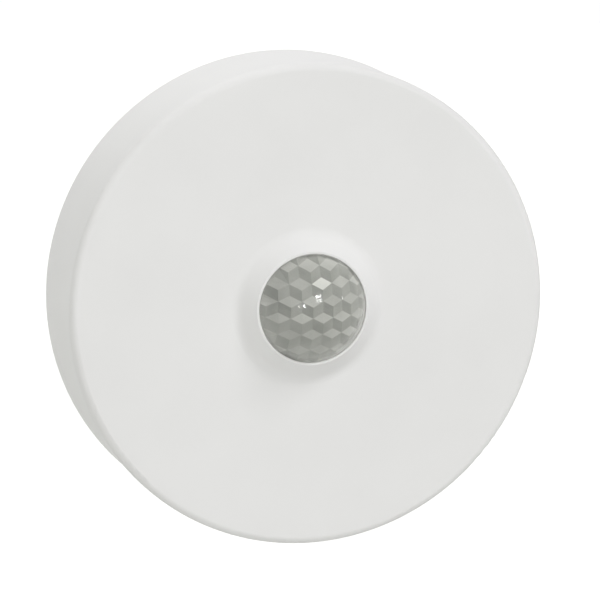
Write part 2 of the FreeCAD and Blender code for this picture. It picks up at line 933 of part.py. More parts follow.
def make_lens():
    """Domed infrared lens: smooth outside, hexagonal cells inside, with a flange that the boss traps."""
    body = new_body("lens_blank")
    dome_foot = boss_top - S.lens_sink
    revolve(
        body,
        "dome",
        [
            (0.0, lens_bottom),
            (flange_radius, lens_bottom),
            (flange_radius, ledge_height),
            (S.lens_radius, ledge_height),
            (S.lens_radius, dome_foot, dome_radius(), 1),
            (0.0, dome_foot + S.dome_height),
        ],
    )
    facets = doc.addObject("Part::Feature", "lens_facets")
    facets.Shape = facet_cavity()
    bore = cylinder(
        "lens_bore",
        0.0,
        0.0,
        lens_bottom - S.lens_wall,
        S.lens_radius - S.lens_skirt_wall,
        S.ledge_drop + S.dome_height + S.lens_wall + S.lens_flange_thickness,
    )
    cavity = doc.addObject("Part::Common", "lens_cavity")
    cavity.Base = bore
    cavity.Tool = facets
    stand_up(cut("lens", body, cavity))


def make_lens_retainer():
    """Tube that presses the lens against the boss and shades the detector, on three ears."""
    body = new_body("lens_retainer")
    inside = retainer_radius - S.retainer_wall
    flange_outside = retainer_radius + S.retainer_flange_width
    bottom = retainer_seat - S.retainer_flange_thickness
    revolve(
        body,
        "tube",
        [
            (inside, bottom),
            (flange_outside, bottom),
            (flange_outside, retainer_seat),
            (retainer_radius, retainer_seat),
            (retainer_radius, lens_bottom),
            (inside, lens_bottom),
        ],
    )
    for index, angle in enumerate(RETAINER_SCREW_ANGLES):
        x, y = polar(retainer_screw_circle, angle)
        pad(
            body,
            f"ear_{index}",
            draw_circle,
            bottom,
            S.retainer_flange_thickness,
            x,
            y,
            S.retainer_ear_radius,
        )
        pocket(
            body,
            f"ear_hole_{index}",
            draw_circle,
            retainer_seat,
            S.retainer_flange_thickness,
            x,
            y,
            S.screw_shank_radius + S.screw_clearance,
        )
    stand_up(body)


def make_screws(name, angles, circle, seat, heads_down):
    """Pan-head screws on a circle, heads towards the wall or away from it."""
    screws = []
    for index, angle in enumerate(angles):
        x, y = polar(circle, angle)
        body = new_body(f"{name}_{index}")
        revolve(
            body,
            f"{name}_{index}_turned",
            [
                (0.0, -S.screw_length),
                (S.screw_shank_radius, -S.screw_length),
                (S.screw_shank_radius, 0.0),
                (S.screw_head_radius, 0.0),
                (S.screw_head_radius, S.screw_head_height - S.screw_head_bevel),
                (S.screw_head_radius - S.screw_head_bevel, S.screw_head_height),
                (0.0, S.screw_head_height),
            ],
        )
        if heads_down:
            body.Placement = FreeCAD.Placement(
                FreeCAD.Vector(0, 0, 0), FreeCAD.Rotation(FreeCAD.Vector(1, 0, 0), 180)
            )
        bind(body, "Placement.Base.x", x)
        bind(body, "Placement.Base.y", y)
        bind(body, "Placement.Base.z", seat)
        screws.append(body)
    stand_up(group(name, screws))


def make_circuit_board():
    """Round board with screw holes, holes for the detector's leads and two locating notches."""
    body = new_body("circuit_board")
    pad(body, "laminate", draw_circle, board_height, S.board_thickness, 0.0, 0.0, board_radius)
    for index, angle in enumerate(BOARD_SCREW_ANGLES):
        x, y = polar(board_screw_circle, angle)
        hole_radius = S.screw_shank_radius + S.screw_clearance
        pocket(body, f"screw_hole_{index}", draw_circle, board_top, S.board_thickness, x, y, hole_radius)
    for index, angle in enumerate(LEAD_ANGLES):
        x, y = polar(S.lead_circle, angle)
        hole_radius = S.lead_radius + S.screw_clearance
        pocket(body, f"lead_hole_{index}", draw_circle, board_top, S.board_thickness, x, y, hole_radius)
    for side in (-1, 1):
        notch = f"notch_{'left' if side < 0 else 'right'}"
        pocket(
            body,
            notch,
            draw_circle,
            board_top,
            S.board_thickness,
            side * board_radius,
            0.0,
            S.board_notch_radius,
        )
    stand_up(body)


def make_detector():
    """Infrared detector: metal can with a silicon window, header, sensing element, leads and spacer."""
    seat = board_top + S.spacer_height
    can_top = seat + S.can_height
    bore = S.can_radius - S.can_wall

    can = new_body("pir_can")
    revolve(
        can,
        "can",
        [
            (bore, seat),
            (can_flange_radius, seat),
            (can_flange_radius, seat + S.can_flange_thickness),
            (S.can_radius, seat + S.can_flange_thickness),
            (S.can_radius, can_top - S.can_wall),
            (S.can_radius - S.can_wall, can_top),
            (0.0, can_top),
            (0.0, can_top - S.can_wall),
            (bore, can_top - S.can_wall),
        ],
    )
    half_x = S.window_width / 2
    half_y = S.window_height / 2
    opening = [(-half_x, -half_y), (half_x, -half_y), (half_x, half_y), (-half_x, half_y)]
    pocket(can, "can_opening", draw_outline, can_top, S.can_wall, opening)
    stand_up(can)

    window_bottom = can_top - S.can_wall - S.window_thickness
    window_length = S.window_width + 2 * S.window_lap
    window_width = S.window_height + 2 * S.window_lap
    stand_up(slab("pir_window", 0.0, 0.0, window_bottom, window_length, window_width, S.window_thickness))

    header = new_body("pir_header")
    header_radius = bore - S.header_fit
    pad(header, "header_disc", draw_circle, seat, S.header_thickness, 0.0, 0.0, header_radius)
    for index, angle in enumerate(LEAD_ANGLES):
        x, y = polar(S.lead_circle, angle)
        pocket(
            header,
            f"glass_seal_{index}",
            draw_circle,
            seat + S.header_thickness,
            S.header_thickness,
            x,
            y,
            S.lead_radius + S.lead_fit,
        )
    stand_up(header)

    element_bottom = seat + S.header_thickness
    block = box("element_block", 0.0, 0.0, element_bottom, S.element_side / 2, S.element_side / 2, S.element_stand)
    plate = box(
        "element_plate",
        0.0,
        0.0,
        element_bottom + S.element_stand,
        S.element_side,
        S.element_side,
        S.element_thickness,
    )
    stand_up(fuse("pir_element", [block, plate]))

    lead_bottom = board_height - S.lead_tail
    leads = []
    for index, angle in enumerate(LEAD_ANGLES):
        x, y = polar(S.lead_circle, angle)
        length = seat + S.header_thickness + S.can_wall - lead_bottom
        leads.append(cylinder(f"lead_{index}", x, y, lead_bottom, S.lead_radius, length))
    stand_up(group("pir_leads", leads))

    spacer = new_body("pir_spacer")
    pad(spacer, "spacer_disc", draw_circle, board_top, S.spacer_height, 0.0, 0.0, can_flange_radius)
    hole_radius = S.lead_circle + S.lead_radius + S.screw_clearance
    pocket(spacer, "spacer_hole", draw_circle, seat, S.spacer_height, 0.0, 0.0, hole_radius)
    stand_up(spacer)


def make_indicators():
    """Light sensor and status light, one either side of the detector under the lens."""
    stand_up(slab("light_sensor", S.light_place, 0.0, board_top, S.light_side, S.light_side, S.light_height))
    base_top = board_top + S.led_base_height
    body = new_body("status_led")
    base = rectangle(-S.light_place, 0.0, S.led_width, S.led_length)
    pad(body, "led_base", draw_outline, board_top, S.led_base_height, base)
    pad(body, "led_lens", draw_circle, base_top, S.led_dome_radius / 2, -S.light_place, 0.0, S.led_dome_radius)
    stand_up(body)


def make_battery():
    """Coin cell: case, sealing ring and cap, with the cap towards the board."""
    back = cell_back
    front = back + S.battery_height
    cap_radius = S.battery_radius - S.battery_cap_inset
    shoulder = front - S.battery_cap_rise
    cap_foot = front - S.battery_cap_depth
    seal_outside = cap_radius + S.battery_seal_width

    case = new_body("battery_case")
    revolve(
        case,
        "case",
        [
            (0.0, back),
            (S.battery_radius - S.battery_bevel, back),
            (S.battery_radius, back + S.battery_bevel),
            (S.battery_radius, shoulder - S.battery_bevel),
            (S.battery_radius - S.battery_bevel, shoulder),
            (seal_outside, shoulder),
            (seal_outside, cap_foot),
            (0.0, cap_foot),
        ],
    )
    seal = new_body("battery_seal")
    revolve(
        seal,
        "seal",
        [
            (cap_radius, cap_foot),
            (seal_outside, cap_foot),
            (seal_outside, shoulder),
            (cap_radius, shoulder),
        ],
    )
    cap = new_body("battery_cap")
    revolve(
        cap,
        "cap",
        [
            (0.0, cap_foot),
            (cap_radius, cap_foot),
            (cap_radius, front - S.battery_cap_rise),
            (cap_radius - S.battery_cap_rise, front),
            (0.0, front),
        ],
    )
    for piece in (case, seal, cap):
        stand_up(piece, y=battery_y)


def make_battery_holder():
    """Ring under the board with a web, lips that keep the cell in, and openings for both contacts."""
    body = new_body("battery_holder")
    inside = S.battery_radius + S.holder_fit
    outside = inside + S.holder_wall
    back = cell_back - S.holder_lip
    web_back = board_height - S.holder_web
    revolve(
        body,
        "ring",
        [
            (0.0, web_back),
            (inside, web_back),
            (inside, back),
            (outside, back),
            (outside, board_height),
            (0.0, board_height),
        ],
    )
    lip = revolve(
        body,
        "cell_lip",
        [
            (inside - S.holder_lip_reach, back),
            (inside + S.holder_wall / 2, back),
            (inside + S.holder_wall / 2, cell_back),
            (inside, cell_back),
            (inside - S.holder_lip_reach, back + S.holder_lip / 2),
        ],
        angle=S.holder_lip_angle,
        turn=BAYONET_TURN,
    )
    repeat_round(body, "cell_lips", [lip], BAYONET_COUNT)
    window = rectangle(0.0, 0.0, S.holder_window_length, S.holder_window_width)
    pocket(body, "web_window", draw_outline, board_height, S.holder_web, window)
    # The gap in the wall is both the finger notch and the way in for the case contact.
    notch_length = S.holder_wall + S.holder_fit + S.contact_foot
    notch_x = -outside + notch_length / 2 - S.holder_fit
    notch = rectangle(notch_x, 0.0, notch_length, S.holder_notch_width)
    pocket(body, "case_notch", draw_outline, board_height, board_height - back, notch)
    stand_up(body, y=battery_y)


def make_battery_contacts():
    """Bent strips: a bowed spring on the cap and a clip along the case."""
    cap_face = cell_back + S.battery_height
    foot_bottom = board_height - S.contact_thickness
    half_length = S.holder_window_length / 2 - S.holder_fit
    flat = half_length - S.contact_foot
    bow = strip_body(
        "battery_contact_negative",
        [
            (-half_length, foot_bottom),
            (-flat, foot_bottom),
            (-S.contact_thickness * 2, cap_face),
            (S.contact_thickness * 2, cap_face),
            (flat, foot_bottom),
            (half_length, foot_bottom),
            (half_length, board_height),
            (flat - S.contact_thickness, board_height),
            (S.contact_thickness, cap_face + S.contact_thickness),
            (-S.contact_thickness, cap_face + S.contact_thickness),
            (S.contact_thickness - flat, board_height),
            (-half_length, board_height),
        ],
    )
    stand_up(bow, y=battery_y)

    case_side = -S.battery_radius
    touch = cell_back + S.battery_height / 2
    stand_off = case_side - S.holder_fit
    clip = strip_body(
        "battery_contact_positive",
        [
            (stand_off - S.contact_thickness - S.contact_foot, foot_bottom),
            (stand_off - S.contact_thickness, foot_bottom),
            (stand_off - S.contact_thickness, touch + S.contact_thickness * 2),
            (case_side - S.contact_thickness, touch),
            (stand_off - S.contact_thickness, cell_back),
            (stand_off, cell_back),
            (case_side, touch),
            (stand_off, touch + S.contact_thickness * 2),
            (stand_off, board_height),
            (stand_off - S.contact_thickness - S.contact_foot, board_height),
        ],
    )
    stand_up(clip, y=battery_y)


def strip_body(name, corners):
    """Metal strip of the contact's width whose side view in (x, height) is the outline."""
    body = new_body(name)
    sketch = new_sketch(body, name + "_side", "XZ_Plane")
    draw_outline(sketch, corners)
    feature = body.newObject("PartDesign::Pad", name + "_strip")
    feature.Profile = (sketch, [""])
    feature.Midplane = True
    bind(feature, "Length", S.contact_width)
    return body


def make_reset_switch():
    """Tact switch under the board, and the key in the floor that a fingertip or pin presses."""
    body_bottom = board_height - S.switch_height
    cover_bottom = body_bottom - S.switch_cover_thickness
    tip = cover_bottom - S.plunger_rise
    well_radius = S.plunger_radius + S.plunger_fit

    switch = new_body("reset_switch_body")
    square = rectangle(0.0, 0.0, S.switch_side, S.switch_side)
    pad(switch, "switch_block", draw_outline, body_bottom, S.switch_height, square)
    well_depth = S.plunger_depth + S.key_travel
    pocket(switch, "plunger_well", draw_circle, body_bottom, well_depth, 0.0, 0.0, well_radius, upwards=True)
    stand_up(switch, S.key_place_x, S.key_place_y)

    cover = new_body("reset_switch_cover")
    pad(cover, "cover_plate", draw_outline, cover_bottom, S.switch_cover_thickness, square)
    pocket(
        cover,
        "cover_hole",
        draw_circle,
        body_bottom,
        S.switch_cover_thickness,
        0.0,
        0.0,
        well_radius,
    )
    stand_up(cover, S.key_place_x, S.key_place_y)

    plunger_height = body_bottom + S.plunger_depth - tip
    plunger = disc("reset_plunger", 0.0, 0.0, tip, S.plunger_radius, plunger_height)
    stand_up(plunger, S.key_place_x, S.key_place_y)

    key = new_body("reset_key")
    flange_bottom = floor_top + S.bay_gap
    flange_top = flange_bottom + S.key_flange_thickness
    back = floor_height + S.key_sink
    dish = S.key_radius / 2
    revolve(
        key,
        "key",
        [
            (0.0, back + S.key_sink),
            (dish, back + S.key_sink),
            (dish + S.key_sink, back),
            (S.key_radius, back),
            (S.key_radius, flange_bottom),
            (S.key_flange_radius, flange_bottom),
            (S.key_flange_radius, flange_top),
            (S.plunger_radius, flange_top),
            (S.plunger_radius, tip),
            (0.0, tip),
        ],
    )
    stand_up(key, S.key_place_x, S.key_place_y)


def make_radio_module():
    """Radio board, its shield can and a ceramic antenna."""
    module_top = board_top + S.radio_thickness
    stand_up(
        slab(
            "radio_board",
            radio_x,
            radio_y,
            board_top,
            S.radio_length,
            S.radio_width,
            S.radio_thickness,
        )
    )

    margin = (S.radio_width - S.shield_width) / 2
    shield_length = S.radio_length - 2 * margin - S.antenna_width - S.antenna_gap
    shield_x = radio_x + S.radio_length / 2 - margin - shield_length / 2
    shield = new_body("radio_shield")
    outline = rectangle(shield_x, radio_y, shield_length, S.shield_width)
    pad(shield, "shield_block", draw_outline, module_top, S.shield_height, outline)
    doc.recompute()
    round_edges(shield, "shield_rounds", S.shield_round, is_shield_edge)
    stand_up(shield)

    antenna_x = radio_x - S.radio_length / 2 + margin + S.antenna_width / 2
    stand_up(
        slab(
            "antenna_chip",
            antenna_x,
            radio_y,
            module_top,
            S.antenna_width,
            S.antenna_length,
            S.antenna_height,
        )
    )


def is_shield_edge(edge):
    """Whether an edge of the shield is an upright corner or lies on its top."""
    top = (board_top + S.radio_thickness + S.shield_height).value
    ends = [vertex.Point.z for vertex in edge.Vertexes]
    upright = abs(ends[0] - ends[1]) > S.shield_height.value / 2
    return upright or min(ends) > top - S.shield_height.value / 10


def round_edges(body, name, radius, wanted):
    """Fillet those edges of the body's tip that wanted picks."""
    tip = body.Tip
    names = [f"Edge{i}" for i, edge in enumerate(tip.Shape.Edges, start=1) if wanted(edge)]
    fillet = body.newObject("PartDesign::Fillet", name)
    fillet.Base = (tip, names)
    bind(fillet, "Radius", radius)
    return fillet


def make_amplifier():
    """Eight-legged amplifier chip, legs in a node of their own."""
    bottom = board_top + S.amplifier_stand
    stand_up(
        slab(
            "amplifier_chip",
            amplifier_x,
            S.amplifier_y,
            bottom,
            S.amplifier_length,
            S.amplifier_width,
            S.amplifier_height,
        )
    )
    legs = []
    shoulder = bottom + S.amplifier_height / 2
    first_x = amplifier_x - (LEGS_PER_SIDE - 1) * S.leg_pitch / 2
    for side in (-1, 1):
        root_y = S.amplifier_y + side * S.amplifier_width / 2
        for index in range(LEGS_PER_SIDE):
            x = first_x + index * S.leg_pitch
            tag = f"{'near' if side < 0 else 'far'}_{index}"
            arm_y = root_y + side * S.leg_reach / 4
            drop_y = root_y + side * (S.leg_reach / 2 - S.leg_thickness / 2)
            foot_y = root_y + side * S.leg_reach * 3 / 4
            arm_z = shoulder - S.leg_thickness
            arm = box(f"arm_{tag}", x, arm_y, arm_z, S.leg_width, S.leg_reach / 2, S.leg_thickness)
            drop = box(
                f"drop_{tag}", x, drop_y, board_top, S.leg_width, S.leg_thickness, shoulder - board_top
            )
            foot = box(f"foot_{tag}", x, foot_y, board_top, S.leg_width, S.leg_reach / 2, S.leg_thickness)
            legs.append(fuse(f"leg_{tag}", [arm, drop, foot]))
    stand_up(group("amplifier_legs", legs))


def make_capacitor():
    """Smoothing capacitor: rolled aluminium can on a square base."""
    stand_up(
        slab(
            "capacitor_base",
            capacitor_x,
            capacitor_y,
            board_top,
            S.capacitor_base_side,
            S.capacitor_base_side,
            S.capacitor_base_height,
        )
    )
    foot = board_top + S.capacitor_base_height
    top = foot + S.capacitor_height
    neck = S.capacitor_radius - S.capacitor_groove
    step = S.capacitor_groove
    body = new_body("capacitor_can")
    revolve(
        body,
        "rolled_can",
        [
            (0.0, foot),
            (S.capacitor_radius, foot),
            (S.capacitor_radius, foot + 2 * step),
            (neck, foot + 3 * step),
            (neck, foot + 4 * step),
            (S.capacitor_radius, foot + 5 * step),
            (S.capacitor_radius, top - step),
            (S.capacitor_radius - step, top),
            (0.0, top),
        ],
    )
    stand_up(body, capacitor_x, capacitor_y)


def make_chips():
    """Crystal, resistors and ceramic capacitors."""
    crystal = slab(
        "crystal",
        crystal_x,
        crystal_y,
        board_top,
        S.crystal_length,
        S.crystal_width,
        S.crystal_height,
    )
    stand_up(crystal)
    resistor_x = amplifier_x - chip_step
    resistor_y = S.amplifier_y - S.amplifier_width - chip_step
    rows = {
        "resistors": (resistor_x, resistor_y, 4, S.resistor_height),
        "ceramic_capacitors": (crystal_x, ceramic_y, 3, S.ceramic_height),
    }
    for name, (x, y, columns, height) in rows.items():
        chips = []
        for column in range(columns):
            for line in range(2):
                chip_x = x + column * chip_step
                chip_y = y + line * S.chip_length
                tag = f"{name}_{column}_{line}"
                chips.append(box(tag, chip_x, chip_y, board_top, S.chip_length, S.chip_width, height))
        stand_up(group(name, chips))


make_front_cover()
make_housing()
make_wall_plate()
make_lens()
make_lens_retainer()
retainer_head_seat = retainer_seat - S.retainer_flange_thickness
make_screws("retainer_screws", RETAINER_SCREW_ANGLES, retainer_screw_circle, retainer_head_seat, True)
make_screws("board_screws", BOARD_SCREW_ANGLES, board_screw_circle, board_top, False)
make_circuit_board()
make_detector()
make_indicators()
make_battery()
make_battery_holder()
make_battery_contacts()
make_reset_switch()
make_radio_module()
make_amplifier()
make_capacitor()
make_chips()
doc.recompute()

failed = [item.Name for item in doc.Objects if "Invalid" in item.State or "Error" in item.State]
if failed:
    raise RuntimeError(f"did not recompute: {', '.join(failed)}")

os.makedirs("parts", exist_ok=True)
for node in nodes:
    shape = node.Shape
    if shape.isNull() or not shape.isValid():
        raise RuntimeError(f"{node.Label} has no valid shape")
    shape.exportStep(f"parts/{node.Label}.step")
    print(f"{node.Label}: {len(shape.Solids)} solid(s), {shape.Volume:.2f} cubic mm")
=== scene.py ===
"""Looks, lights and camera of a round wall sensor that feels motion and light.

Every size below is in millimetres in the part's own lie: X to the right, Y up the wall and Z out of the
wall, from the middle of the wall plate's back face. to_frame() turns such a point into the model's frame.
"""
import logging
import math
from dataclasses import dataclass, field
from enum import Enum
from typing import Any, Callable, ClassVar, Iterable, Mapping, Sequence

import bmesh
import bpy
from mathutils import Matrix, Vector


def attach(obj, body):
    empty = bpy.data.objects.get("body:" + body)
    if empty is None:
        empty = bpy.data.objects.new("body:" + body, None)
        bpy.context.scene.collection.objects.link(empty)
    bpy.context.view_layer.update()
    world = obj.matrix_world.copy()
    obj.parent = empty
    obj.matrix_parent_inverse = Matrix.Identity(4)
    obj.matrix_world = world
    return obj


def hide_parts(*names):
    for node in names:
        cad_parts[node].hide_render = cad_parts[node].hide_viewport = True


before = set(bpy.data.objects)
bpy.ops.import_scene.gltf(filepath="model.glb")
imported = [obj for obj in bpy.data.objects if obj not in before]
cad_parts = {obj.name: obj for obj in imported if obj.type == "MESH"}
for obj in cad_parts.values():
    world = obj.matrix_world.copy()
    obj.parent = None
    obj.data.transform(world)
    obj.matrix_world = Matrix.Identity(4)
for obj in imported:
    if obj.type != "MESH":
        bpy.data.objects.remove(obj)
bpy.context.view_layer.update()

LOG = logging.getLogger("wall_sensor")
MM = 0.001
SUNK = 0.02  # how far added pieces reach into, or stand off, what they lie against
BOARD_BACK, BOARD_FRONT = 10.4, 12.0  # heights of the circuit board's faces
KNEE = (0.35, 0.45)  # where a fillet's slope bends, as shares of its run and rise
NOISE = (0.3, 0.7)  # plain noise mostly runs between these
WHITE_LIGHT = (1.0, 1.0, 1.0)

Pair = tuple[float, float]
Point = tuple[float, float, float]
Colour = tuple[float, float, float]
Outline = Sequence[tuple[float | Callable[[float], float], float]]
Object = bpy.types.Object
Socket = bpy.types.NodeSocket
Sockets = Mapping[Any, Socket]


class Body(Enum):
    """Bodies of the model that pieces ride on."""

    WALL_PLATE = "wall_plate"
    HEAD = "sensor_head"


def to_frame(x: float, y: float, z: float) -> Vector:
    """Point of the part's own lie, in the model's frame and in metres."""
    return Vector((x * MM, -z * MM, y * MM))


def polar(radius: float, degrees: float) -> Pair:
    """Point at a radius and an angle about the middle of the part."""
    angle = math.radians(degrees)
    return radius * math.cos(angle), radius * math.sin(angle)


def new_object(name: str, data: bpy.types.ID) -> Object:
    """Add an object to the scene.

    Args:
        name: name of the object.
        data: its mesh, lamp or camera.

    Returns:
        The object.
    """
    made = bpy.data.objects.new(name, data)
    bpy.context.scene.collection.objects.link(made)
    return made


# Shader trees


class Tree:
    """Short calls to add and join the nodes of one shader tree."""

    def __init__(self, tree: bpy.types.NodeTree) -> None:
        """Take a tree over and empty it."""
        self.tree = tree
        tree.nodes.clear()

    def add(self, kind: str, inputs: dict[Any, Any] | None = None, **settings: Any) -> bpy.types.Node:
        """Add one node.

        Args:
            kind: node type without the ShaderNode prefix.
            inputs: value, or socket of another node, by the input's name or number.
            settings: properties of the node itself.

        Returns:
            The new node.
        """
        node = self.tree.nodes.new("ShaderNode" + kind)
        for name, value in settings.items():
            setattr(node, name, value)
        for name, value in (inputs or {}).items():
            socket = node.inputs[name]
            if isinstance(value, Socket):
                self.tree.links.new(value, socket)
            elif socket.type == "RGBA":
                socket.default_value = (*value, 1.0)
            else:
                socket.default_value = value
        return node

    def place(self) -> Socket:
        """Point on the surface, in metres."""
        return self.add("TexCoord").outputs["Object"]

    def math(self, operation: str, first: Any, second: Any = 0.0, clamp: bool = False) -> Socket:
        """Arithmetic on two values or sockets; clamp keeps the result between 0 and 1."""
        return self.add("Math", {0: first, 1: second}, operation=operation, use_clamp=clamp).outputs[0]

    def vector(self, operation: str, *inputs: Any) -> Sockets:
        """Outputs of arithmetic on vectors."""
        return self.add("VectorMath", dict(enumerate(inputs)), operation=operation).outputs

    def combine(self, *sides: Any) -> Socket:
        """Vector of up to three values."""
        return self.add("CombineXYZ", dict(enumerate(sides))).outputs[0]

    def mix(self, amount: Any, first: Any, second: Any) -> Socket:
        """Colour that goes from the first, at 0, to the second, at 1."""
        return self.add("Mix", {"Factor": amount, 6: first, 7: second}, data_type="RGBA").outputs[2]

    def spread(self, value: Any, low: float, high: float, start: float = 0.0, stop: float = 1.0) -> Socket:
        """Value carried from low and high to start and stop, and kept between those."""
        inputs = {"Value": value, "From Min": low, "From Max": high, "To Min": start, "To Max": stop}
        return self.add("MapRange", inputs).outputs[0]

    def noise(self, place: Socket, size: Any, **more: float) -> Socket:
        """Noise whose blobs are about size millimetres wide; more are the node's other inputs."""
        scale = self.math("DIVIDE", 1 / MM, size) if isinstance(size, Socket) else 1 / (size * MM)
        return self.add("TexNoise", {"Vector": place, "Scale": scale, **more}).outputs[0]

    def bump(self, height: Socket, depth: float, strength: float) -> Socket:
        """Normal of a surface with a relief; its depth is in millimetres."""
        return self.add("Bump", {"Height": height, "Distance": depth * MM, "Strength": strength}).outputs[0]

    def seen(self) -> Socket:
        """Socket that is 1 for a ray from the camera, a mirror or glass, and 0 for one that lights the part.

        Returns:
            The socket.
        """
        path = self.add("LightPath").outputs
        seen = self.math("MAXIMUM", path["Is Camera Ray"], path["Is Glossy Ray"])
        return self.math("MAXIMUM", seen, path["Is Transmission Ray"])


class Effect(Tree):
    """A node group that several finishes share. It puts out only masks, values and heights."""

    name: ClassVar[str]
    sockets: ClassVar[dict[str, float]] = {}  # inputs with their usual values
    outputs: ClassVar[tuple[str, ...]]

    def __init__(self) -> None:
        """Build the group."""
        super().__init__(bpy.data.node_groups.new(self.name, "ShaderNodeTree"))
        interface = self.tree.interface
        for socket, value in self.sockets.items():
            made = interface.new_socket(socket, in_out="INPUT", socket_type="NodeSocketFloat")
            made.default_value = value
        for socket in self.outputs:
            interface.new_socket(socket, in_out="OUTPUT", socket_type="NodeSocketFloat")
        self.given: Sockets = self.tree.nodes.new("NodeGroupInput").outputs
        drain = self.tree.nodes.new("NodeGroupOutput")
        for name, socket in self.draw().items():
            self.tree.links.new(socket, drain.inputs[name])

    def draw(self) -> Sockets:
        """Build the nodes between the group's inputs and outputs."""
        raise NotImplementedError

    @classmethod
    def put(cls, graph: Tree, **values: float) -> Sockets:
        """Place the group, which is built the first time, in a material.

        Args:
            graph: the material's tree.
            values: the group's inputs, with underscores for spaces.

        Returns:
            The group's outputs by name.
        """
        node = graph.add("Group", node_tree=bpy.data.node_groups.get(cls.name) or cls().tree)
        for name, value in values.items():
            node.inputs[name.replace("_", " ")].default_value = value
        return node.outputs


class MouldGrain(Effect):
    """Spark-eroded grain of a moulding tool, and the slow drift of tone across a moulding."""

    name = "mould_grain"
    sockets = {"Grain Size": 0.25, "Drift Size": 22.0, "Pits": 0.3}
    outputs = ("Height", "Drift")

    def draw(self) -> Sockets:
        """Build the group's nodes.

        Returns:
            The grain's height and the drift, both from 0 to 1.
        """
        place = self.place()
        grain = self.noise(place, self.given["Grain Size"], Detail=3.0, Roughness=0.6)
        scale = self.math("DIVIDE", 1 / MM, self.given["Grain Size"])
        cells = self.add("TexVoronoi", {"Vector": place, "Scale": scale}).outputs["Distance"]
        height = self.math("ADD", grain, self.math("MULTIPLY", cells, self.given["Pits"]))
        return {"Height": height, "Drift": self.noise(place, self.given["Drift Size"])}


class Handling(Effect):
    """Faint smudges and hairline rubs that change the gloss of a handled surface."""

    name = "handling"
    sockets = {"Smudge Size": 9.0, "Rub Size": 1.2}
    outputs = ("Smudge", "Rub")

    def draw(self) -> Sockets:
        """Build the group's nodes.

        Returns:
            Masks of the smudges and of the hairline rubs, from 0 to 1.
        """
        place = self.place()
        smudge = self.noise(place, self.given["Smudge Size"], Detail=4.0, Distortion=0.6)
        stretch = {"Vector": place, "Rotation": (0.3, 0.5, 0.8), "Scale": (1.0, 1.0, 12.0)}
        rub = self.noise(self.add("Mapping", stretch).outputs[0], self.given["Rub Size"])
        return {"Smudge": self.spread(smudge, 0.42, 0.72), "Rub": self.spread(rub, 0.62, 0.78)}


class CopperTracks(Effect):
    """Thin copper tracks that run across in some regions and up in others, and the vias between layers."""

    name = "copper_tracks"
    sockets = {"Pitch": 0.62, "Width": 0.24, "Length": 5.0, "Via Pitch": 2.3, "Via Radius": 0.3}
    outputs = ("Tracks", "Vias")

    def draw(self) -> Sockets:
        """Build the group's nodes.

        Returns:
            Masks of the tracks and of the vias.
        """
        place = self.place()
        sides = self.add("SeparateXYZ", {0: place}).outputs
        across, up = self.math("DIVIDE", sides[0], MM), self.math("DIVIDE", sides[2], MM)
        region = self.math("GREATER_THAN", self.noise(place, 8.0), 0.5)
        level = self.math("MULTIPLY", self.run(across, up), region)
        upright = self.math("MULTIPLY", self.run(up, across), self.math("SUBTRACT", 1.0, region))
        spots = [self.math("DIVIDE", side, self.given["Via Pitch"]) for side in (across, up)]
        cell = self.combine(*(self.math("FLOOR", spot) for spot in spots))
        inside = self.combine(*(self.math("SUBTRACT", self.math("FRACT", spot), 0.5) for spot in spots))
        away = self.math("MULTIPLY", self.vector("LENGTH", inside)["Value"], self.given["Via Pitch"])
        spot = self.math("LESS_THAN", away, self.given["Via Radius"])
        vias = self.math("MULTIPLY", spot, self.kept(cell, 0.72))
        return {"Tracks": self.math("ADD", level, upright), "Vias": vias}

    def kept(self, cell: Socket, limit: float) -> Socket:
        """Mask of a grid's cells, given by their whole numbers, with a share of them left out at random."""
        chance = self.add("TexWhiteNoise", {"Vector": cell}).outputs["Value"]
        return self.math("GREATER_THAN", chance, limit)

    def run(self, along: Socket, aside: Socket) -> Socket:
        """Tracks that run one way, with stretches left out.

        Args:
            along: position along the tracks, in millimetres.
            aside: position across them.

        Returns:
            Mask of the tracks.
        """
        lane = self.math("DIVIDE", aside, self.given["Pitch"])
        row = self.math("FLOOR", lane)
        middle = self.math("ABSOLUTE", self.math("SUBTRACT", self.math("FRACT", lane), 0.5))
        half = self.math("MULTIPLY", self.math("DIVIDE", self.given["Width"], self.given["Pitch"]), 0.5)
        stretch = self.math("DIVIDE", along, self.given["Length"])
        shifted = self.math("ADD", stretch, self.math("MULTIPLY", row, 0.37))
        cell = self.combine(row, self.math("FLOOR", shifted))
        return self.math("MULTIPLY", self.math("LESS_THAN", middle, half), self.kept(cell, 0.55))


class FromAxis(Effect):
    """Distance from the sensor's own axis, for what changes towards a rim."""

    name = "from_axis"
    outputs = ("Out",)

    def draw(self) -> Sockets:
        """Build the group's nodes, which put out the distance in metres."""
        flat = self.vector("MULTIPLY", self.place(), (1.0, 0.0, 1.0))[0]
        return {"Out": self.vector("LENGTH", flat)["Value"]}


class DrawnMetal(Effect):
    """Fine lines that drawing, rolling or turning leaves on sheet metal, with small stains."""

    name = "drawn_metal"
    sockets = {"Line Size": 0.12, "Stretch": 30.0, "Stain Size": 1.5}
    outputs = ("Lines", "Stain")

    def draw(self) -> Sockets:
        """Build the group's nodes.

        Returns:
            The lines' height and the stain mask, both from 0 to 1.
        """
        place = self.place()
        squeeze = self.combine(self.math("DIVIDE", 1.0, self.given["Stretch"]), 1.0, 1.0)
        squeezed = self.vector("MULTIPLY", place, squeeze)[0]
        stain = self.noise(place, self.given["Stain Size"], Detail=4.0)
        lines = self.noise(squeezed, self.given["Line Size"], Detail=3.0)
        return {"Lines": lines, "Stain": self.spread(stain, 0.45, 0.7)}


# Finishes


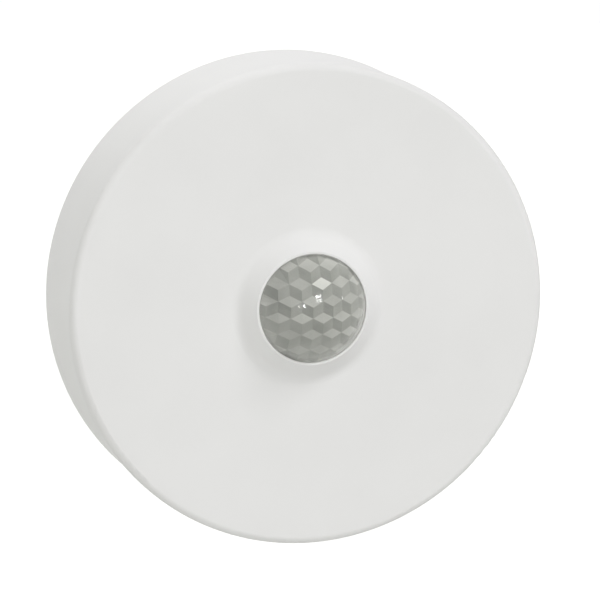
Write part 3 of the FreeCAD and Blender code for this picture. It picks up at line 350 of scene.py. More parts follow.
@dataclass(frozen=True)
class Finish:
    """A finish: its name and the colour it renders as."""

    name: str
    colour: Colour

    def material(self) -> bpy.types.Material:
        """The finish's material, built the first time.

        Returns:
            The shared material.
        """
        ready = bpy.data.materials.get(self.name)
        if ready:
            return ready
        made = bpy.data.materials.new(self.name)
        made.use_nodes = True
        made.diffuse_color = (*self.colour, 1.0)
        graph = Tree(made.node_tree)
        graph.add("OutputMaterial", {"Surface": self.shade(graph)})
        return made

    def shade(self, graph: Tree) -> Socket:
        """Shader of the surface, in the material's tree."""
        return graph.add("BsdfPrincipled", self.look(graph)).outputs[0]

    def look(self, graph: Tree) -> dict[str, Any]:
        """Inputs of the shader."""
        raise NotImplementedError

    def toned(self, factor: float, lift: float = 0.0) -> Colour:
        """The colour made darker or lighter."""
        return tuple(min(channel * factor + lift, 1.0) for channel in self.colour)


@dataclass(frozen=True)
class MouldedPlastic(Finish):
    """Plastic moulded in a spark-eroded tool."""

    roughness: float = 0.42  # roughness where the surface is clean
    grain: float = 0.25  # width of the grain in millimetres
    depth: float = 0.004  # height of the grain in millimetres
    drift: float = 0.015  # how far the tone drifts, as a share

    def look(self, graph: Tree) -> dict[str, Any]:
        """Inputs of the shader.

        Args:
            graph: the material's tree.

        Returns:
            Value or socket by the input's name.
        """
        grain = MouldGrain.put(graph, Grain_Size=self.grain)
        handled = Handling.put(graph)
        smudged = graph.math("MULTIPLY", handled["Smudge"], -0.05)
        rubbed = graph.math("MULTIPLY", handled["Rub"], 0.06)
        drift = graph.spread(grain["Drift"], *NOISE)
        return {
            "Base Color": graph.mix(drift, self.toned(1 - self.drift), self.toned(1 + self.drift)),
            "Roughness": graph.math("ADD", graph.math("ADD", smudged, rubbed), self.roughness),
            "Normal": graph.bump(grain["Height"], self.depth, 0.6),
            "IOR": 1.49,
        }


@dataclass(frozen=True)
class SheetMetal(Finish):
    """Plated or drawn sheet metal."""

    roughness: float = 0.28  # roughness between the stains
    stretch: float = 30.0  # how many times longer than wide the drawing lines are
    stain: float = 0.15  # how much the stains darken the metal, as a share

    def look(self, graph: Tree) -> dict[str, Any]:
        """Inputs of the shader.

        Args:
            graph: the material's tree.

        Returns:
            Value or socket by the input's name.
        """
        drawn = DrawnMetal.put(graph, Stretch=self.stretch)
        return {
            "Base Color": graph.mix(drawn["Stain"], self.colour, self.toned(1 - self.stain)),
            "Metallic": 1.0,
            "Roughness": graph.spread(drawn["Lines"], *NOISE, self.roughness - 0.06, self.roughness + 0.1),
            "Normal": graph.bump(drawn["Lines"], 0.002, 0.5),
        }


@dataclass(frozen=True)
class SolderMask(Finish):
    """Fibreglass laminate under solder mask, with the copper tracks standing up faintly beneath it."""

    def look(self, graph: Tree) -> dict[str, Any]:
        """Inputs of the shader.

        Args:
            graph: the material's tree.

        Returns:
            Value or socket by the input's name.
        """
        layout = CopperTracks.put(graph)
        copper = graph.math("MAXIMUM", layout["Tracks"], layout["Vias"])
        weave = graph.add("TexWave", {"Vector": graph.place(), "Scale": 1 / (0.9 * MM), "Distortion": 0.4})
        grain = MouldGrain.put(graph, Grain_Size=0.5, Drift_Size=12.0)
        ground = graph.mix(graph.spread(grain["Drift"], *NOISE), self.toned(0.85), self.colour)
        laid = graph.mix(copper, ground, self.toned(1.5, 0.02))
        height = graph.math("ADD", copper, graph.math("MULTIPLY", weave.outputs["Fac"], 0.12))
        return {
            "Base Color": graph.mix(layout["Vias"], laid, self.toned(2.2, 0.05)),
            "Roughness": 0.34,
            "Specular IOR Level": 0.3,
            "Normal": graph.bump(height, 0.03, 0.7),
        }


@dataclass(frozen=True)
class FiredCeramic(Finish):
    """Fired ceramic or epoxy: speckled and slightly uneven."""

    roughness: float = 0.5
    speckle: float = 0.12  # width of the specks in millimetres
    contrast: float = 0.18  # how much darker the specks are, as a share

    def look(self, graph: Tree) -> dict[str, Any]:
        """Inputs of the shader.

        Args:
            graph: the material's tree.

        Returns:
            Value or socket by the input's name.
        """
        grain = MouldGrain.put(graph, Grain_Size=self.speckle, Drift_Size=3.0, Pits=0.6)
        specks = graph.spread(grain["Height"], 0.55, 0.85)
        return {
            "Base Color": graph.mix(specks, self.colour, self.toned(1 - self.contrast)),
            "Roughness": graph.spread(grain["Drift"], *NOISE, self.roughness - 0.05, self.roughness + 0.05),
            "Normal": graph.bump(grain["Height"], 0.004, 0.5),
        }


@dataclass(frozen=True)
class ClearPlastic(Finish):
    """Clear, polished plastic that lets the light through to what lies under it."""

    roughness: float = 0.13  # how much the plastic blurs what lies under it
    polish: float = 0.04  # roughness of its polished skin
    milk: Colour = (0.86, 0.86, 0.83)  # colour of its body, where one looks along the skin and at the rim
    turning: Pair = (0.44, 0.6)  # from and to which turn away from the view that colour comes in
    most_milk: float = 0.55  # how much of it there is in the end
    rim: Pair = (9.4, 9.58)  # from and to which distance from the lens's middle the rim is all milk
    shadow: Colour = (0.97, 0.97, 0.96)  # colour of the light that gets through

    def look(self, graph: Tree) -> dict[str, Any]:
        """Inputs of the clear skin's shader.

        Args:
            graph: the material's tree.

        Returns:
            Value or socket by the input's name.
        """
        grain = MouldGrain.put(graph, Grain_Size=1.6, Drift_Size=6.0, Pits=0.0)
        smudge = Handling.put(graph, Smudge_Size=5.0)["Smudge"]
        return {
            "Base Color": graph.mix(graph.spread(grain["Drift"], *NOISE), self.colour, self.toned(0.97)),
            "Roughness": graph.spread(smudge, 0.0, 1.0, self.roughness, self.roughness + 0.05),
            "Normal": graph.bump(grain["Height"], 0.003, 0.4),
            "IOR": 1.5,
            "Transmission Weight": 1.0,
            "Coat Weight": 1.0,
            "Coat Roughness": self.polish,
        }

    def shade(self, graph: Tree) -> Socket:
        """Build the skin, the milky body seen at its edges, and the way that light takes through both.

        Args:
            graph: the material's tree.

        Returns:
            The surface's socket.
        """
        skin = super().shade(graph)
        body = graph.add("BsdfPrincipled", {"Base Color": self.milk, "Roughness": 0.35, "Coat Weight": 0.6})
        facing = graph.add("LayerWeight", {"Blend": 0.5}).outputs["Facing"]
        turned = graph.spread(facing, *self.turning, 0.0, self.most_milk)
        rim = graph.spread(FromAxis.put(graph)["Out"], self.rim[0] * MM, self.rim[1] * MM, 0.0, 0.8)
        milky = graph.add("MixShader", {0: graph.math("MAXIMUM", turned, rim), 1: skin, 2: body.outputs[0]})
        clear = graph.add("BsdfTransparent", {"Color": self.shadow})
        shadow = graph.add("LightPath").outputs["Is Shadow Ray"]
        return graph.add("MixShader", {0: shadow, 1: milky.outputs[0], 2: clear.outputs[0]}).outputs[0]


@dataclass(frozen=True)
class CellPlastic(Finish):
    """Milky plastic of the lens cells, whose tone follows the cell's own facet as painted shade, with painted
    light towards the rim.
    """

    shade_colour: Colour = (0.31, 0.315, 0.288)  # tone of the facets with the deepest painted shade
    rim: Pair = (7.6, 9.3)  # from and to which distance from the lens's middle painted light makes the cells lighter
    pale: float = 0.16  # how much painted light lightens them at the rim

    def look(self, graph: Tree) -> dict[str, Any]:
        """Inputs of the shader.

        Args:
            graph: the material's tree.

        Returns:
            Value or socket by the input's name.
        """
        # the facet attribute is painted shade: upper facets lighter, lower ones darker, as if lit from the
        # upper right
        tone = graph.add("Attribute", attribute_name=LensCells.TONE).outputs["Fac"]
        grain = MouldGrain.put(graph, Grain_Size=0.5, Drift_Size=3.2)
        cloud = graph.spread(grain["Drift"], *NOISE, -0.06, 0.06)
        # painted light: the cells grow lighter towards the lens's rim
        rim = graph.spread(FromAxis.put(graph)["Out"], self.rim[0] * MM, self.rim[1] * MM, 0.0, self.pale)
        painted_light_and_cloud = graph.math("ADD", graph.math("ADD", tone, rim), cloud, clamp=True)
        return {
            "Base Color": graph.mix(painted_light_and_cloud, self.shade_colour, self.colour),
            "Roughness": 0.6,
            "Specular IOR Level": 0.15,
            "Normal": graph.bump(grain["Height"], 0.004, 0.5),
        }


class Finishes:
    """The finishes of this sensor by what wears them."""

    WHITE = MouldedPlastic("satin_white", (0.85, 0.845, 0.845), roughness=0.55)
    BACK_WHITE = MouldedPlastic("plate_white", (0.82, 0.82, 0.80), roughness=0.5, grain=0.35, depth=0.006)
    BLACK = MouldedPlastic("moulded_black", (0.035, 0.035, 0.038), roughness=0.46, drift=0.08)
    CREAM = MouldedPlastic("switch_cream_plastic", (0.78, 0.72, 0.6), roughness=0.4)
    CLEAR = ClearPlastic("lens_clear", (0.93, 0.94, 0.92))
    # the lens cells' colour range carries painted shade per facet and painted light at the rim
    CELLS = CellPlastic("lens_cells_milky", (0.94, 0.94, 0.9))
    ZINC = SheetMetal("zinc_plate", (0.62, 0.62, 0.6), roughness=0.34, stain=0.2)
    NICKEL = SheetMetal("nickel_plate", (0.66, 0.65, 0.62), roughness=0.25)
    GILT = SheetMetal("gold_flash", (0.83, 0.66, 0.33), roughness=0.22, stain=0.1)
    CELL_STEEL = SheetMetal("cell_steel_brushed", (0.6, 0.6, 0.585), roughness=0.24, stretch=60.0, stain=0.06)
    BRONZE = SheetMetal("tinned_bronze", (0.75, 0.72, 0.62), roughness=0.3)
    TIN = SheetMetal("tinned_solder", (0.72, 0.72, 0.72), roughness=0.3, stretch=3.0, stain=0.12)
    ALUMINIUM = SheetMetal("drawn_aluminium", (0.78, 0.78, 0.79), roughness=0.3, stain=0.06)
    MASK = SolderMask("green_mask", (0.03, 0.2, 0.1))
    SILICON = FiredCeramic("coated_silicon", (0.06, 0.055, 0.07), roughness=0.08, speckle=0.6, contrast=0.1)
    ELEMENT = FiredCeramic("element_plate", (0.8, 0.77, 0.7), roughness=0.6)
    PACKAGE = FiredCeramic("pale_package", (0.75, 0.76, 0.74), roughness=0.18, contrast=0.05)
    LAMP = FiredCeramic("lamp_package", (0.9, 0.89, 0.82), roughness=0.2, contrast=0.04)
    ANTENNA = FiredCeramic("antenna_body", (0.85, 0.86, 0.88), roughness=0.4)
    EPOXY = FiredCeramic("black_epoxy", (0.03, 0.03, 0.03), roughness=0.45, contrast=0.3)
    TAN = FiredCeramic("tan_ceramic", (0.62, 0.5, 0.36), roughness=0.4)


# Shapes


def arc(middle: Pair, radius: float, first: float, last: float, steps: int) -> list[Pair]:
    """Points along an arc of a section, ends included.

    Args:
        middle: the arc's middle as (radius, height).
        radius: the arc's radius.
        first: angle of its first point in degrees.
        last: angle of its last point in degrees.
        steps: how many runs it has.

    Returns:
        The points.
    """
    points = []
    for step in range(steps + 1):
        across, up = polar(radius, first + (last - first) * step / steps)
        points.append((middle[0] + across, middle[1] + up))
    return points


class Shape:
    """Mesh in metres in the model's frame, drawn in millimetres in the part's own lie."""

    def __init__(self) -> None:
        """Start empty."""
        self.mesh = bmesh.new()

    def lathe(self, outline: Outline, steps: int, x: float = 0.0, y: float = 0.0) -> None:
        """Turn a closed outline about an axis that stands out of the wall.

        Args:
            outline: corners as (radius, height), in order round the section; a radius may vary with the angle.
            steps: how many sides the turned shape has.
            x: the axis's place across.
            y: the axis's place up the wall.
        """
        rings: list[list[bmesh.types.BMVert]] = []
        for radius, height in outline:
            ring = []
            for step in range(steps if radius else 1):
                degrees = 360 * step / steps
                across, up = polar(radius(degrees) if callable(radius) else radius, degrees)
                ring.append(self.mesh.verts.new(to_frame(x + across, y + up, height)))
            rings.append(ring)
        for first, second in zip(rings, rings[1:] + rings[:1]):
            if len(first) + len(second) == 2:
                continue
            for step in range(steps):
                spots = ((first, step), (second, step), (second, step + 1), (first, step + 1))
                self.mesh.faces.new(list(dict.fromkeys(ring[spot % len(ring)] for ring, spot in spots)))

    def hull(self, points: Iterable[Point]) -> None:
        """Add the convex solid that a few points span."""
        bmesh.ops.convex_hull(self.mesh, input=[self.mesh.verts.new(to_frame(*point)) for point in points])

    def block(self, low: Point, high: Point) -> None:
        """Add a block between its lowest and highest corners."""
        self.hull([(x, y, z) for x in (low[0], high[0]) for y in (low[1], high[1]) for z in (low[2], high[2])])

    def fillet(self, x: float, y: float, run: Pair, half_width: float, rise: float) -> None:
        """Add a sloping fillet of solder on the board's front, against the end of a terminal.

        Args:
            x: place of the end's middle across.
            y: its place up the wall.
            run: how far the solder runs out across and up the wall; one of them is 0.
            half_width: half the terminal's width.
            rise: how high the solder climbs.
        """
        side = (0.0, half_width) if run[0] else (half_width, 0.0)
        z = BOARD_FRONT
        points = []
        for sign in (-1, 1):
            left, low = x + sign * side[0], y + sign * side[1]
            points += [(left, low, z), (left, low, z + rise)]
            points += [(left + run[0] * KNEE[0], low + run[1] * KNEE[0], z + rise * KNEE[1])]
            points += [(left + run[0], low + run[1], z), (left, low, z - SUNK)]
        self.hull(points)

    def smooth(self, degrees: float) -> None:
        """Turn the faces outwards and shade them smooth.

        Args:
            degrees: edges that turn by more than this stay sharp; 0 leaves every face flat.
        """
        bmesh.ops.recalc_face_normals(self.mesh, faces=self.mesh.faces)
        limit = math.radians(degrees)
        for face in self.mesh.faces:
            face.smooth = degrees > 0
        for edge in self.mesh.edges:
            edge.smooth = len(edge.link_faces) == 2 and edge.calc_face_angle(0.0) < limit

    def settle(self, name: str, material: bpy.types.Material) -> Object:
        """Turn the shape, which is used up, into an object.

        Args:
            name: name of the object.
            material: what it is made of.

        Returns:
            The object, in the scene.
        """
        data = bpy.data.meshes.new(name)
        self.mesh.to_mesh(data)
        self.mesh.free()
        data.materials.append(material)
        return new_object(name, data)


# Assemblies


@dataclass
class Assembly:
    """A part of the sensor: it builds its own pieces, then dresses its CAD nodes."""

    finishes: ClassVar[dict[str, Finish]] = {}  # finish of each CAD node
    body: ClassVar[Body] = Body.HEAD  # the body that its pieces ride on
    pieces: list[Object] = field(default_factory=list)  # what it has built

    def build(self) -> None:
        """Build the pieces that the scene adds or puts in a node's place."""

    def dress(self) -> None:
        """Give the CAD nodes their finishes."""
        for name, finish in self.finishes.items():
            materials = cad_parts[name].data.materials
            for index in range(len(materials)):
                materials[index] = finish.material()

    def place(
        self,
        name: str,
        shape: Shape,
        finish: Finish,
        slot: str,
        stands_for: Sequence[str] = (),
        smooth: float = 40.0,
    ) -> None:
        """Turn a shape into a piece that rides on the assembly's body.

        Args:
            name: name of the piece.
            shape: its shape, which is used up.
            finish: what it wears.
            slot: material slot of the record that the finish belongs to; not used.
            stands_for: CAD nodes that it replaces.
            smooth: edges that turn by more degrees than this stay sharp; 0 leaves every face flat.
        """
        shape.smooth(smooth)
        piece = shape.settle(name, finish.material())
        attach(piece, self.body.value)
        if stands_for:
            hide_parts(*stands_for)
        self.pieces.append(piece)


class FrontCover(Assembly):
    """Front disc with the rolled lip and the flared boss."""

    finishes = {"front_cover": Finishes.WHITE}


class Housing(Assembly):
    """Side wall and floor of the head."""

    finishes = {"housing": Finishes.WHITE}


class WallPlate(Assembly):
    """Plate that stays on the wall."""

    finishes = {"wall_plate": Finishes.BACK_WHITE}
    body = Body.WALL_PLATE


@dataclass
class LensCells:
    """Hexagonal cells, each split into three rhombs that meet in a point, laid under the dome."""

    # name of the attribute that holds each facet's painted shade
    TONE: ClassVar[str] = "facet_painted_shade"
    RINGS: ClassVar[int] = 6
    RIM_CUTS: ClassVar[int] = 96

    pitch: float = 3.5  # distance between the middles of neighbouring cells
    squash: float = 0.955  # how much lower the rows lie than in a regular lattice
    widening: Pair = (0.005, 3.5)  # how the columns widen away from their narrowest place, and that place
    shift: Pair = (-0.87, 0.9)  # where a cell's middle lies from the middle of the lens
    relief: float = 0.25  # how far middles stand up and tips fall back
    sphere: float = 12.15  # radius of the sphere that the cells are laid over
    sphere_middle: float = 15.33  # height of that sphere's middle
    rim: float = 9.5  # radius that the cells reach
    thickness: float = 0.35  # how thick the sheet of cells is
    # Painted shade of each rhomb of a cell, by its first corner: the upper rhomb lightest, the lower left
    # darkest, as if lit from the upper right.
    tones: dict[int, float] = field(default_factory=lambda: {1: 0.3, 3: 0.05, 5: 0.125})
    wobble: float = 0.04  # how far tones stray from cell to cell
    # Painted highlight: tone of the upper facet of the cells that seem to catch the light, by steps across and
    # up.
    painted_glints: dict[tuple[int, int], float] = field(default_factory=lambda: {(1, 3): 0.76, (0, 0): 0.38})

    def point(self, across: int, along: int, offset: float) -> Vector:
        """Lattice point on the sphere.

        Args:
            across: half pitches to the right.
            along: half cell sides up.
            offset: how far it stands off the sphere.

        Returns:
            The point in the part's own lie.
        """
        x = across * self.pitch / 2 + self.shift[0]
        x -= self.widening[0] * (x - self.widening[1]) ** 2
        y = along * self.pitch * self.squash / math.sqrt(3) / 2 + self.shift[1]
        flat = min(math.hypot(x, y), self.sphere * 0.95)
        return Vector((x, y, self.sphere_middle + math.sqrt((self.sphere + offset) ** 2 - flat ** 2)))

    def shape(self) -> Shape:
        """Draw the sheet of cells.

        Returns:
            The sheet, with the facets' painted shade and painted highlights as an attribute.
        """
        shape = Shape()
        mesh = shape.mesh
        tone = mesh.faces.layers.float.new(self.TONE)
        corners = ((1, 1), (0, 2), (-1, 1), (-1, -1), (0, -2), (1, -1))
        verts: dict[tuple[int, int], bmesh.types.BMVert] = {}

        def vert(across: int, along: int, offset: float) -> bmesh.types.BMVert:
            """Vertex of a lattice point, shared between cells."""
            made = verts.get((across, along)) or mesh.verts.new(self.point(across, along, offset))
            return verts.setdefault((across, along), made)

        for row in range(-self.RINGS, self.RINGS + 1):
            for column in range(-self.RINGS, self.RINGS + 1):
                across, along = 2 * column + row % 2, 3 * row
                middle = self.point(across, along, self.relief)
                if math.hypot(middle.x, middle.y) > self.rim + self.pitch:
                    continue
                peak = vert(across, along, self.relief)
                ring = [vert(across + a, along + b, -self.relief * (k % 2)) for k, (a, b) in enumerate(corners)]
                # each rhomb gets its painted shade by the way it faces, plus a random stray; a glint cell's
                # upper rhomb gets a painted highlight
                for k, usual in self.tones.items():
                    face = mesh.faces.new((peak, ring[k - 1], ring[k], ring[(k + 1) % 6]))
                    stray = math.sin(12.9 * across + 78.2 * along + 3.7 * k) * self.wobble
                    face[tone] = max(usual + stray, self.painted_glints.get((across, along), 0.0) if k == 1 else 0.0)
        self.trim(mesh)
        self.thicken(mesh)
        for vertex in mesh.verts:
            vertex.co = to_frame(*vertex.co)
        return shape

    def trim(self, mesh: bmesh.types.BMesh) -> None:
        """Cut the sheet round at its rim.

        Args:
            mesh: the sheet, in the part's own lie.
        """
        for step in range(self.RIM_CUTS):
            angle = 2 * math.pi * step / self.RIM_CUTS
            out = Vector((math.cos(angle), math.sin(angle), 0.0))
            sheet = mesh.verts[:] + mesh.edges[:] + mesh.faces[:]
            bmesh.ops.bisect_plane(mesh, geom=sheet, plane_co=out * self.rim, plane_no=out, clear_outer=True)

    def thicken(self, mesh: bmesh.types.BMesh) -> None:
        """Give the sheet its thickness, downwards.

        Args:
            mesh: the sheet, in the part's own lie.
        """
        for item in bmesh.ops.extrude_face_region(mesh, geom=mesh.faces[:])["geom"]:
            if isinstance(item, bmesh.types.BMVert):
                item.co.z -= self.thickness


@dataclass
class Lens(Assembly):
    """Domed lens: a clear polished dome with its flange, over the sheet of cells."""

    radius: float = 9.6  # radius of the dome's foot
    foot: float = 23.6  # height of the dome's foot
    rise: float = 4.4  # how far the dome rises above its foot
    flange: float = 11.0  # radius of the flange
    ledge: float = 21.85  # height of the flange's top
    bottom: float = 21.1  # height of the flange's underside
    bore: float = 9.05  # radius of the hollow under the dome
    cells: LensCells = field(default_factory=LensCells)

    def build(self) -> None:
        """Build the clear dome and the cells under it."""
        sphere = (self.radius ** 2 + self.rise ** 2) / (2 * self.rise)
        edge = math.degrees(math.asin(self.radius / sphere))
        dome = arc((0.0, self.foot + self.rise - sphere), sphere, 90 - edge, 90, 24)
        dome[-1] = (0.0, self.foot + self.rise)
        skin = Shape()
        skin.lathe(
            [
                (self.flange, self.bottom),
                (self.flange, self.ledge),
                (self.radius, self.ledge),
                *dome,
                (0.0, self.ledge),
                (self.bore, self.ledge),
                (self.bore, self.bottom),
            ],
            192,
        )
        self.place("lens_dome", skin, Finishes.CLEAR, "lens_plastic", ("lens",))
        self.place("lens_cells", self.cells.shape(), Finishes.CELLS, "lens_plastic", smooth=0.0)


@dataclass(frozen=True)
class Screw:
    """Pan-head screw for plastic, with a cross recess and a coarse thread."""

    head_radius: float = 1.9
    head_height: float = 1.2
    crown: float = 0.5  # height over which the head's edge is rounded
    shank_radius: float = 1.0  # radius over the thread
    core_radius: float = 0.74  # radius under the thread
    length: float = 4.5  # length of the shank
    pitch: float = 0.9  # distance from one turn of the thread to the next
    crest: float = 0.55  # width of the thread's foot, as a share of the pitch
    neck: float = 0.4  # length over which the thread rises
    arm_reach: float = 1.05  # how far the arms of the cross reach from the middle
    arm_half_angle: float = 11.25  # half the angle that an arm's end fills, in degrees
    recess: float = 0.75  # depth of the cross
    narrowing: float = 0.7  # size of the cross at that depth
    dimple: float = 1.15  # depth of its middle, as a share of the recess

    def cross(self, degrees: float, scale: float) -> float:
        """Radius of the cross's outline at an angle.

        Args:
            degrees: the angle.
            scale: size of the cross at this depth, 1 at the top.

        Returns:
            The radius.
        """
        from_arm = abs((degrees + 45) % 90 - 45)
        if from_arm <= self.arm_half_angle + 0.01:
            return scale * self.arm_reach / math.cos(math.radians(from_arm))
        half_width = self.arm_reach * math.tan(math.radians(self.arm_half_angle))
        return scale * half_width / math.sin(math.radians(from_arm))

    def thread(self, degrees: float, depth: float) -> float:
        """Radius of the shank at an angle and a depth under the head.

        Args:
            degrees: the angle.
            depth: how far under the head.

        Returns:
            The radius.
        """
        phase = (depth / self.pitch - degrees / 360) % 1
        crest = max(0.0, 1 - abs(2 * phase - 1) / self.crest)
        taper = min(1.0, (self.length - depth) / self.pitch + 0.25)
        neck = min(1.0, depth / self.neck)
        return (self.core_radius + (self.shank_radius - self.core_radius) * crest * neck) * taper

    def build(self, shape: Shape, x: float, y: float, seat: float, way: int) -> None:
        """Add one screw to a shape.

        Args:
            shape: shape to add to.
            x: the axis's place across.
            y: the axis's place up the wall.
            seat: height of the head's underside.
            way: 1 where the head points into the room, -1 where it points at the wall.
        """
        top = self.head_height
        head = [
            (0.0, 0.0),
            (self.head_radius, 0.0),
            (self.head_radius, top - self.crown),
            *arc((self.head_radius - self.crown, top - self.crown), self.crown, 15, 90, 5),
            (lambda degrees: self.cross(degrees, 1.0), top),
            (lambda degrees: self.cross(degrees, self.narrowing), top - self.recess),
            (0.0, top - self.recess * self.dimple),
        ]
        rows = round(self.length / self.pitch * 6)
        depths = [self.length * row / rows for row in range(rows + 1)]
        turns = [(lambda degrees, depth=depth: self.thread(degrees, depth), -depth) for depth in depths]
        shank = [(0.0, 0.05), *turns, (0.0, -self.length)]
        for outline, steps in ((head, 64), (shank, 24)):
            shape.lathe([(radius, seat + way * height) for radius, height in outline], steps, x, y)


@dataclass
class ScrewCircle:
    """Screws on a circle about the middle of the part."""

    node: str  # the CAD node that they stand for
    circle: float
    angles: tuple[float, ...]  # where they stand on it, in degrees
    seat: float  # height of the heads' undersides
    way: int  # 1 where the heads point into the room, -1 where they point at the wall
    screw: Screw = Screw()

    def build(self, owner: Assembly) -> None:
        """Build the screws as one piece.

        Args:
            owner: the assembly that they hold.
        """
        shape = Shape()
        for angle in self.angles:
            self.screw.build(shape, *polar(self.circle, angle), self.seat, self.way)
        owner.place(self.node + "_cut", shape, Finishes.ZINC, "zinc_steel", (self.node,))


@dataclass
class Retainer(Assembly):
    """Black tube that presses the lens home, and its three screws."""

    finishes = {"lens_retainer": Finishes.BLACK}
    screws: ScrewCircle = field(
        default_factory=lambda: ScrewCircle("retainer_screws", 15.5, (90.0, 210.0, 330.0), 15.6, -1)
    )

    def build(self) -> None:
        """Build the screws."""
        self.screws.build(self)


@dataclass
class Board(Assembly):
    """Round circuit board with its screws and the tinned rings under them."""

    finishes = {"circuit_board": Finishes.MASK}
    ring: Pair = (1.95, 2.7)  # inner and outer radius of a ring
    tinning: float = 0.04  # how far the tinned copper stands off the board, and reaches into it
    screws: ScrewCircle = field(
        default_factory=lambda: ScrewCircle("board_screws", 29.0, (90.0, 205.0, 335.0), BOARD_FRONT, 1)
    )

    def build(self) -> None:
        """Build the rings and screws."""
        rings = Shape()
        inner, outer = self.ring
        low, high = BOARD_FRONT - self.tinning, BOARD_FRONT + self.tinning
        for angle in self.screws.angles:
            section = [(inner, low), (outer, low), (outer, high), (inner, high)]
            rings.lathe(section, 48, *polar(self.screws.circle, angle))
        self.place("board_ground_rings", rings, Finishes.TIN, "tinned_legs")
        self.screws.build(self)


@dataclass
class Detector(Assembly):
    """Infrared detector, and the solder on its leads behind the board."""

    finishes = {
        "pir_can": Finishes.NICKEL,
        "pir_window": Finishes.SILICON,
        "pir_header": Finishes.NICKEL,
        "pir_element": Finishes.ELEMENT,
        "pir_leads": Finishes.GILT,
        "pir_spacer": Finishes.BLACK,
    }
    circle: float = 2.54  # radius of the circle of leads
    angles: Point = (0.0, 90.0, 180.0)  # where the leads stand on it, in degrees
    cone: Pair = (0.85, 0.25)  # foot and tip radius of a solder cone
    cone_height: float = 0.75  # how far a cone stands off the board
    hollow: float = 2.2  # how hollow a cone's side is

    def build(self) -> None:
        """Build the solder cones."""
        shape = Shape()
        foot, tip = self.cone
        outline = [(0.0, BOARD_BACK + SUNK), (foot, BOARD_BACK + SUNK)]
        for share in (step / 6 for step in range(7)):
            radius = tip + (foot - tip) * (1 - share) ** self.hollow
            outline.append((radius, BOARD_BACK - self.cone_height * share))
        outline.append((0.0, BOARD_BACK - self.cone_height))
        for angle in self.angles:
            shape.lathe(outline, 32, *polar(self.circle, angle))
        self.place("lead_solder", shape, Finishes.TIN, "tinned_legs")


@dataclass
class Indicators(Assembly):
    """Light sensor and status light, with the solder at their ends."""

    finishes = {"light_sensor": Finishes.PACKAGE, "status_led": Finishes.LAMP}
    aside: float = 6.9  # how far each stands to its side
    end: float = 1.0  # how far their ends lie from their middles
    leg: float = 0.6  # how far the light sensor's legs lie from its middle

    def build(self) -> None:
        """Build the solder."""
        shape = Shape()
        for sign in (-1, 1):
            shape.fillet(-self.aside, sign * self.end, (0.0, sign * 0.4), 0.5, 0.3)
            for x in (self.aside - self.leg, self.aside + self.leg):
                shape.fillet(x, sign * self.end, (0.0, sign * 0.35), 0.3, 0.3)
        self.place("indicator_solder", shape, Finishes.TIN, "tinned_legs")


@dataclass
class Radio(Assembly):
    """Radio module with half-round plated pads along both its long edges."""

    finishes = {"radio_board": Finishes.MASK, "radio_shield": Finishes.NICKEL, "antenna_chip": Finishes.ANTENNA}
    first_x: float = -26.4  # place of the first pad
    pitch: float = 1.27
    count: int = 9  # pads on each edge
    edges: Pair = (-1.0, 11.0)  # where both edges lie up the wall
    thickness: float = 0.8  # thickness of its own board
    pad: Point = (0.32, 0.7, 0.03)  # half a pad's width, how far it reaches in from the edge, and its thickness

    def build(self) -> None:
        """Build the pads and their solder."""
        pads, solder = Shape(), Shape()
        half, reach, height = self.pad
        top = BOARD_FRONT + self.thickness + height
        for edge, outward in zip(self.edges, (-1, 1)):
            for index in range(self.count):
                x = self.first_x + index * self.pitch
                low, high = sorted((edge - outward * reach, edge + outward * SUNK))
                pads.block((x - half, low, BOARD_FRONT), (x + half, high, top))
                solder.fillet(x, edge + outward * SUNK, (0.0, outward * 0.5), half, 0.5)
        self.place("radio_edge_pads", pads, Finishes.GILT, "gilt_leads")
        self.place("radio_solder", solder, Finishes.TIN, "tinned_legs")


@dataclass(frozen=True)
class ChipGrid:
    """Small two-ended chips in columns and two lines."""

    node: str  # the CAD node that holds them
    first: Pair  # middle of the first chip
    columns: int
    size: Point  # length, width and height of a chip
    step: Pair = (3.2, 1.6)  # distance between columns and between lines

    def middles(self) -> Iterable[Pair]:
        """Middles of the chips."""
        places = ((column, line) for column in range(self.columns) for line in range(2))
        return ((self.first[0] + a * self.step[0], self.first[1] + b * self.step[1]) for a, b in places)


@dataclass
class Chips(Assembly):
    """Amplifier, resistors, ceramic capacitors and crystal, with their terminals and solder."""

    finishes = {
        "amplifier_chip": Finishes.EPOXY,
        "amplifier_legs": Finishes.TIN,
        "crystal": Finishes.NICKEL,
        "resistors": Finishes.EPOXY,
        "ceramic_capacitors": Finishes.TAN,
    }
    cap_length: float = 0.32  # length of a chip's end cap
    leg_first: float = 16.095  # place of the first leg
    leg_pitch: float = 1.27  # distance from one leg to the next
    leg_ends: Pair = (-0.5, 5.5)  # where both rows of feet end up the wall
    grids: tuple[ChipGrid, ...] = (
        ChipGrid("resistors", (14.8, -4.6), 4, (1.6, 0.8, 0.45)),
        ChipGrid("ceramic_capacitors", (-13.48, 12.85), 3, (1.6, 0.8, 0.8)),
    )

    def build(self) -> None:
        """Build the end caps, which stand a little off the chips, and the solder."""
        solder = Shape()
        for grid in self.grids:
            caps = Shape()
            half, half_width, height = grid.size[0] / 2, grid.size[1] / 2 + SUNK, grid.size[2] + SUNK
            low, high = BOARD_FRONT, BOARD_FRONT + height
            for x, y in grid.middles():
                for way in (-1, 1):
                    outside = x + way * (half + SUNK)
                    left, right = sorted((outside, x + way * (half - self.cap_length)))
                    caps.block((left, y - half_width, low), (right, y + half_width, high))
                    solder.fillet(outside, y, (way * 0.4, 0.0), half_width, height * 0.6)
            self.place(grid.node + "_end_caps", caps, Finishes.TIN, "tinned_legs")
        for index in range(4):
            for end, way in zip(self.leg_ends, (-1, 1)):
                solder.fillet(self.leg_first + index * self.leg_pitch, end, (0.0, way * 0.35), 0.25, 0.16)
        self.place("chip_solder", solder, Finishes.TIN, "tinned_legs")


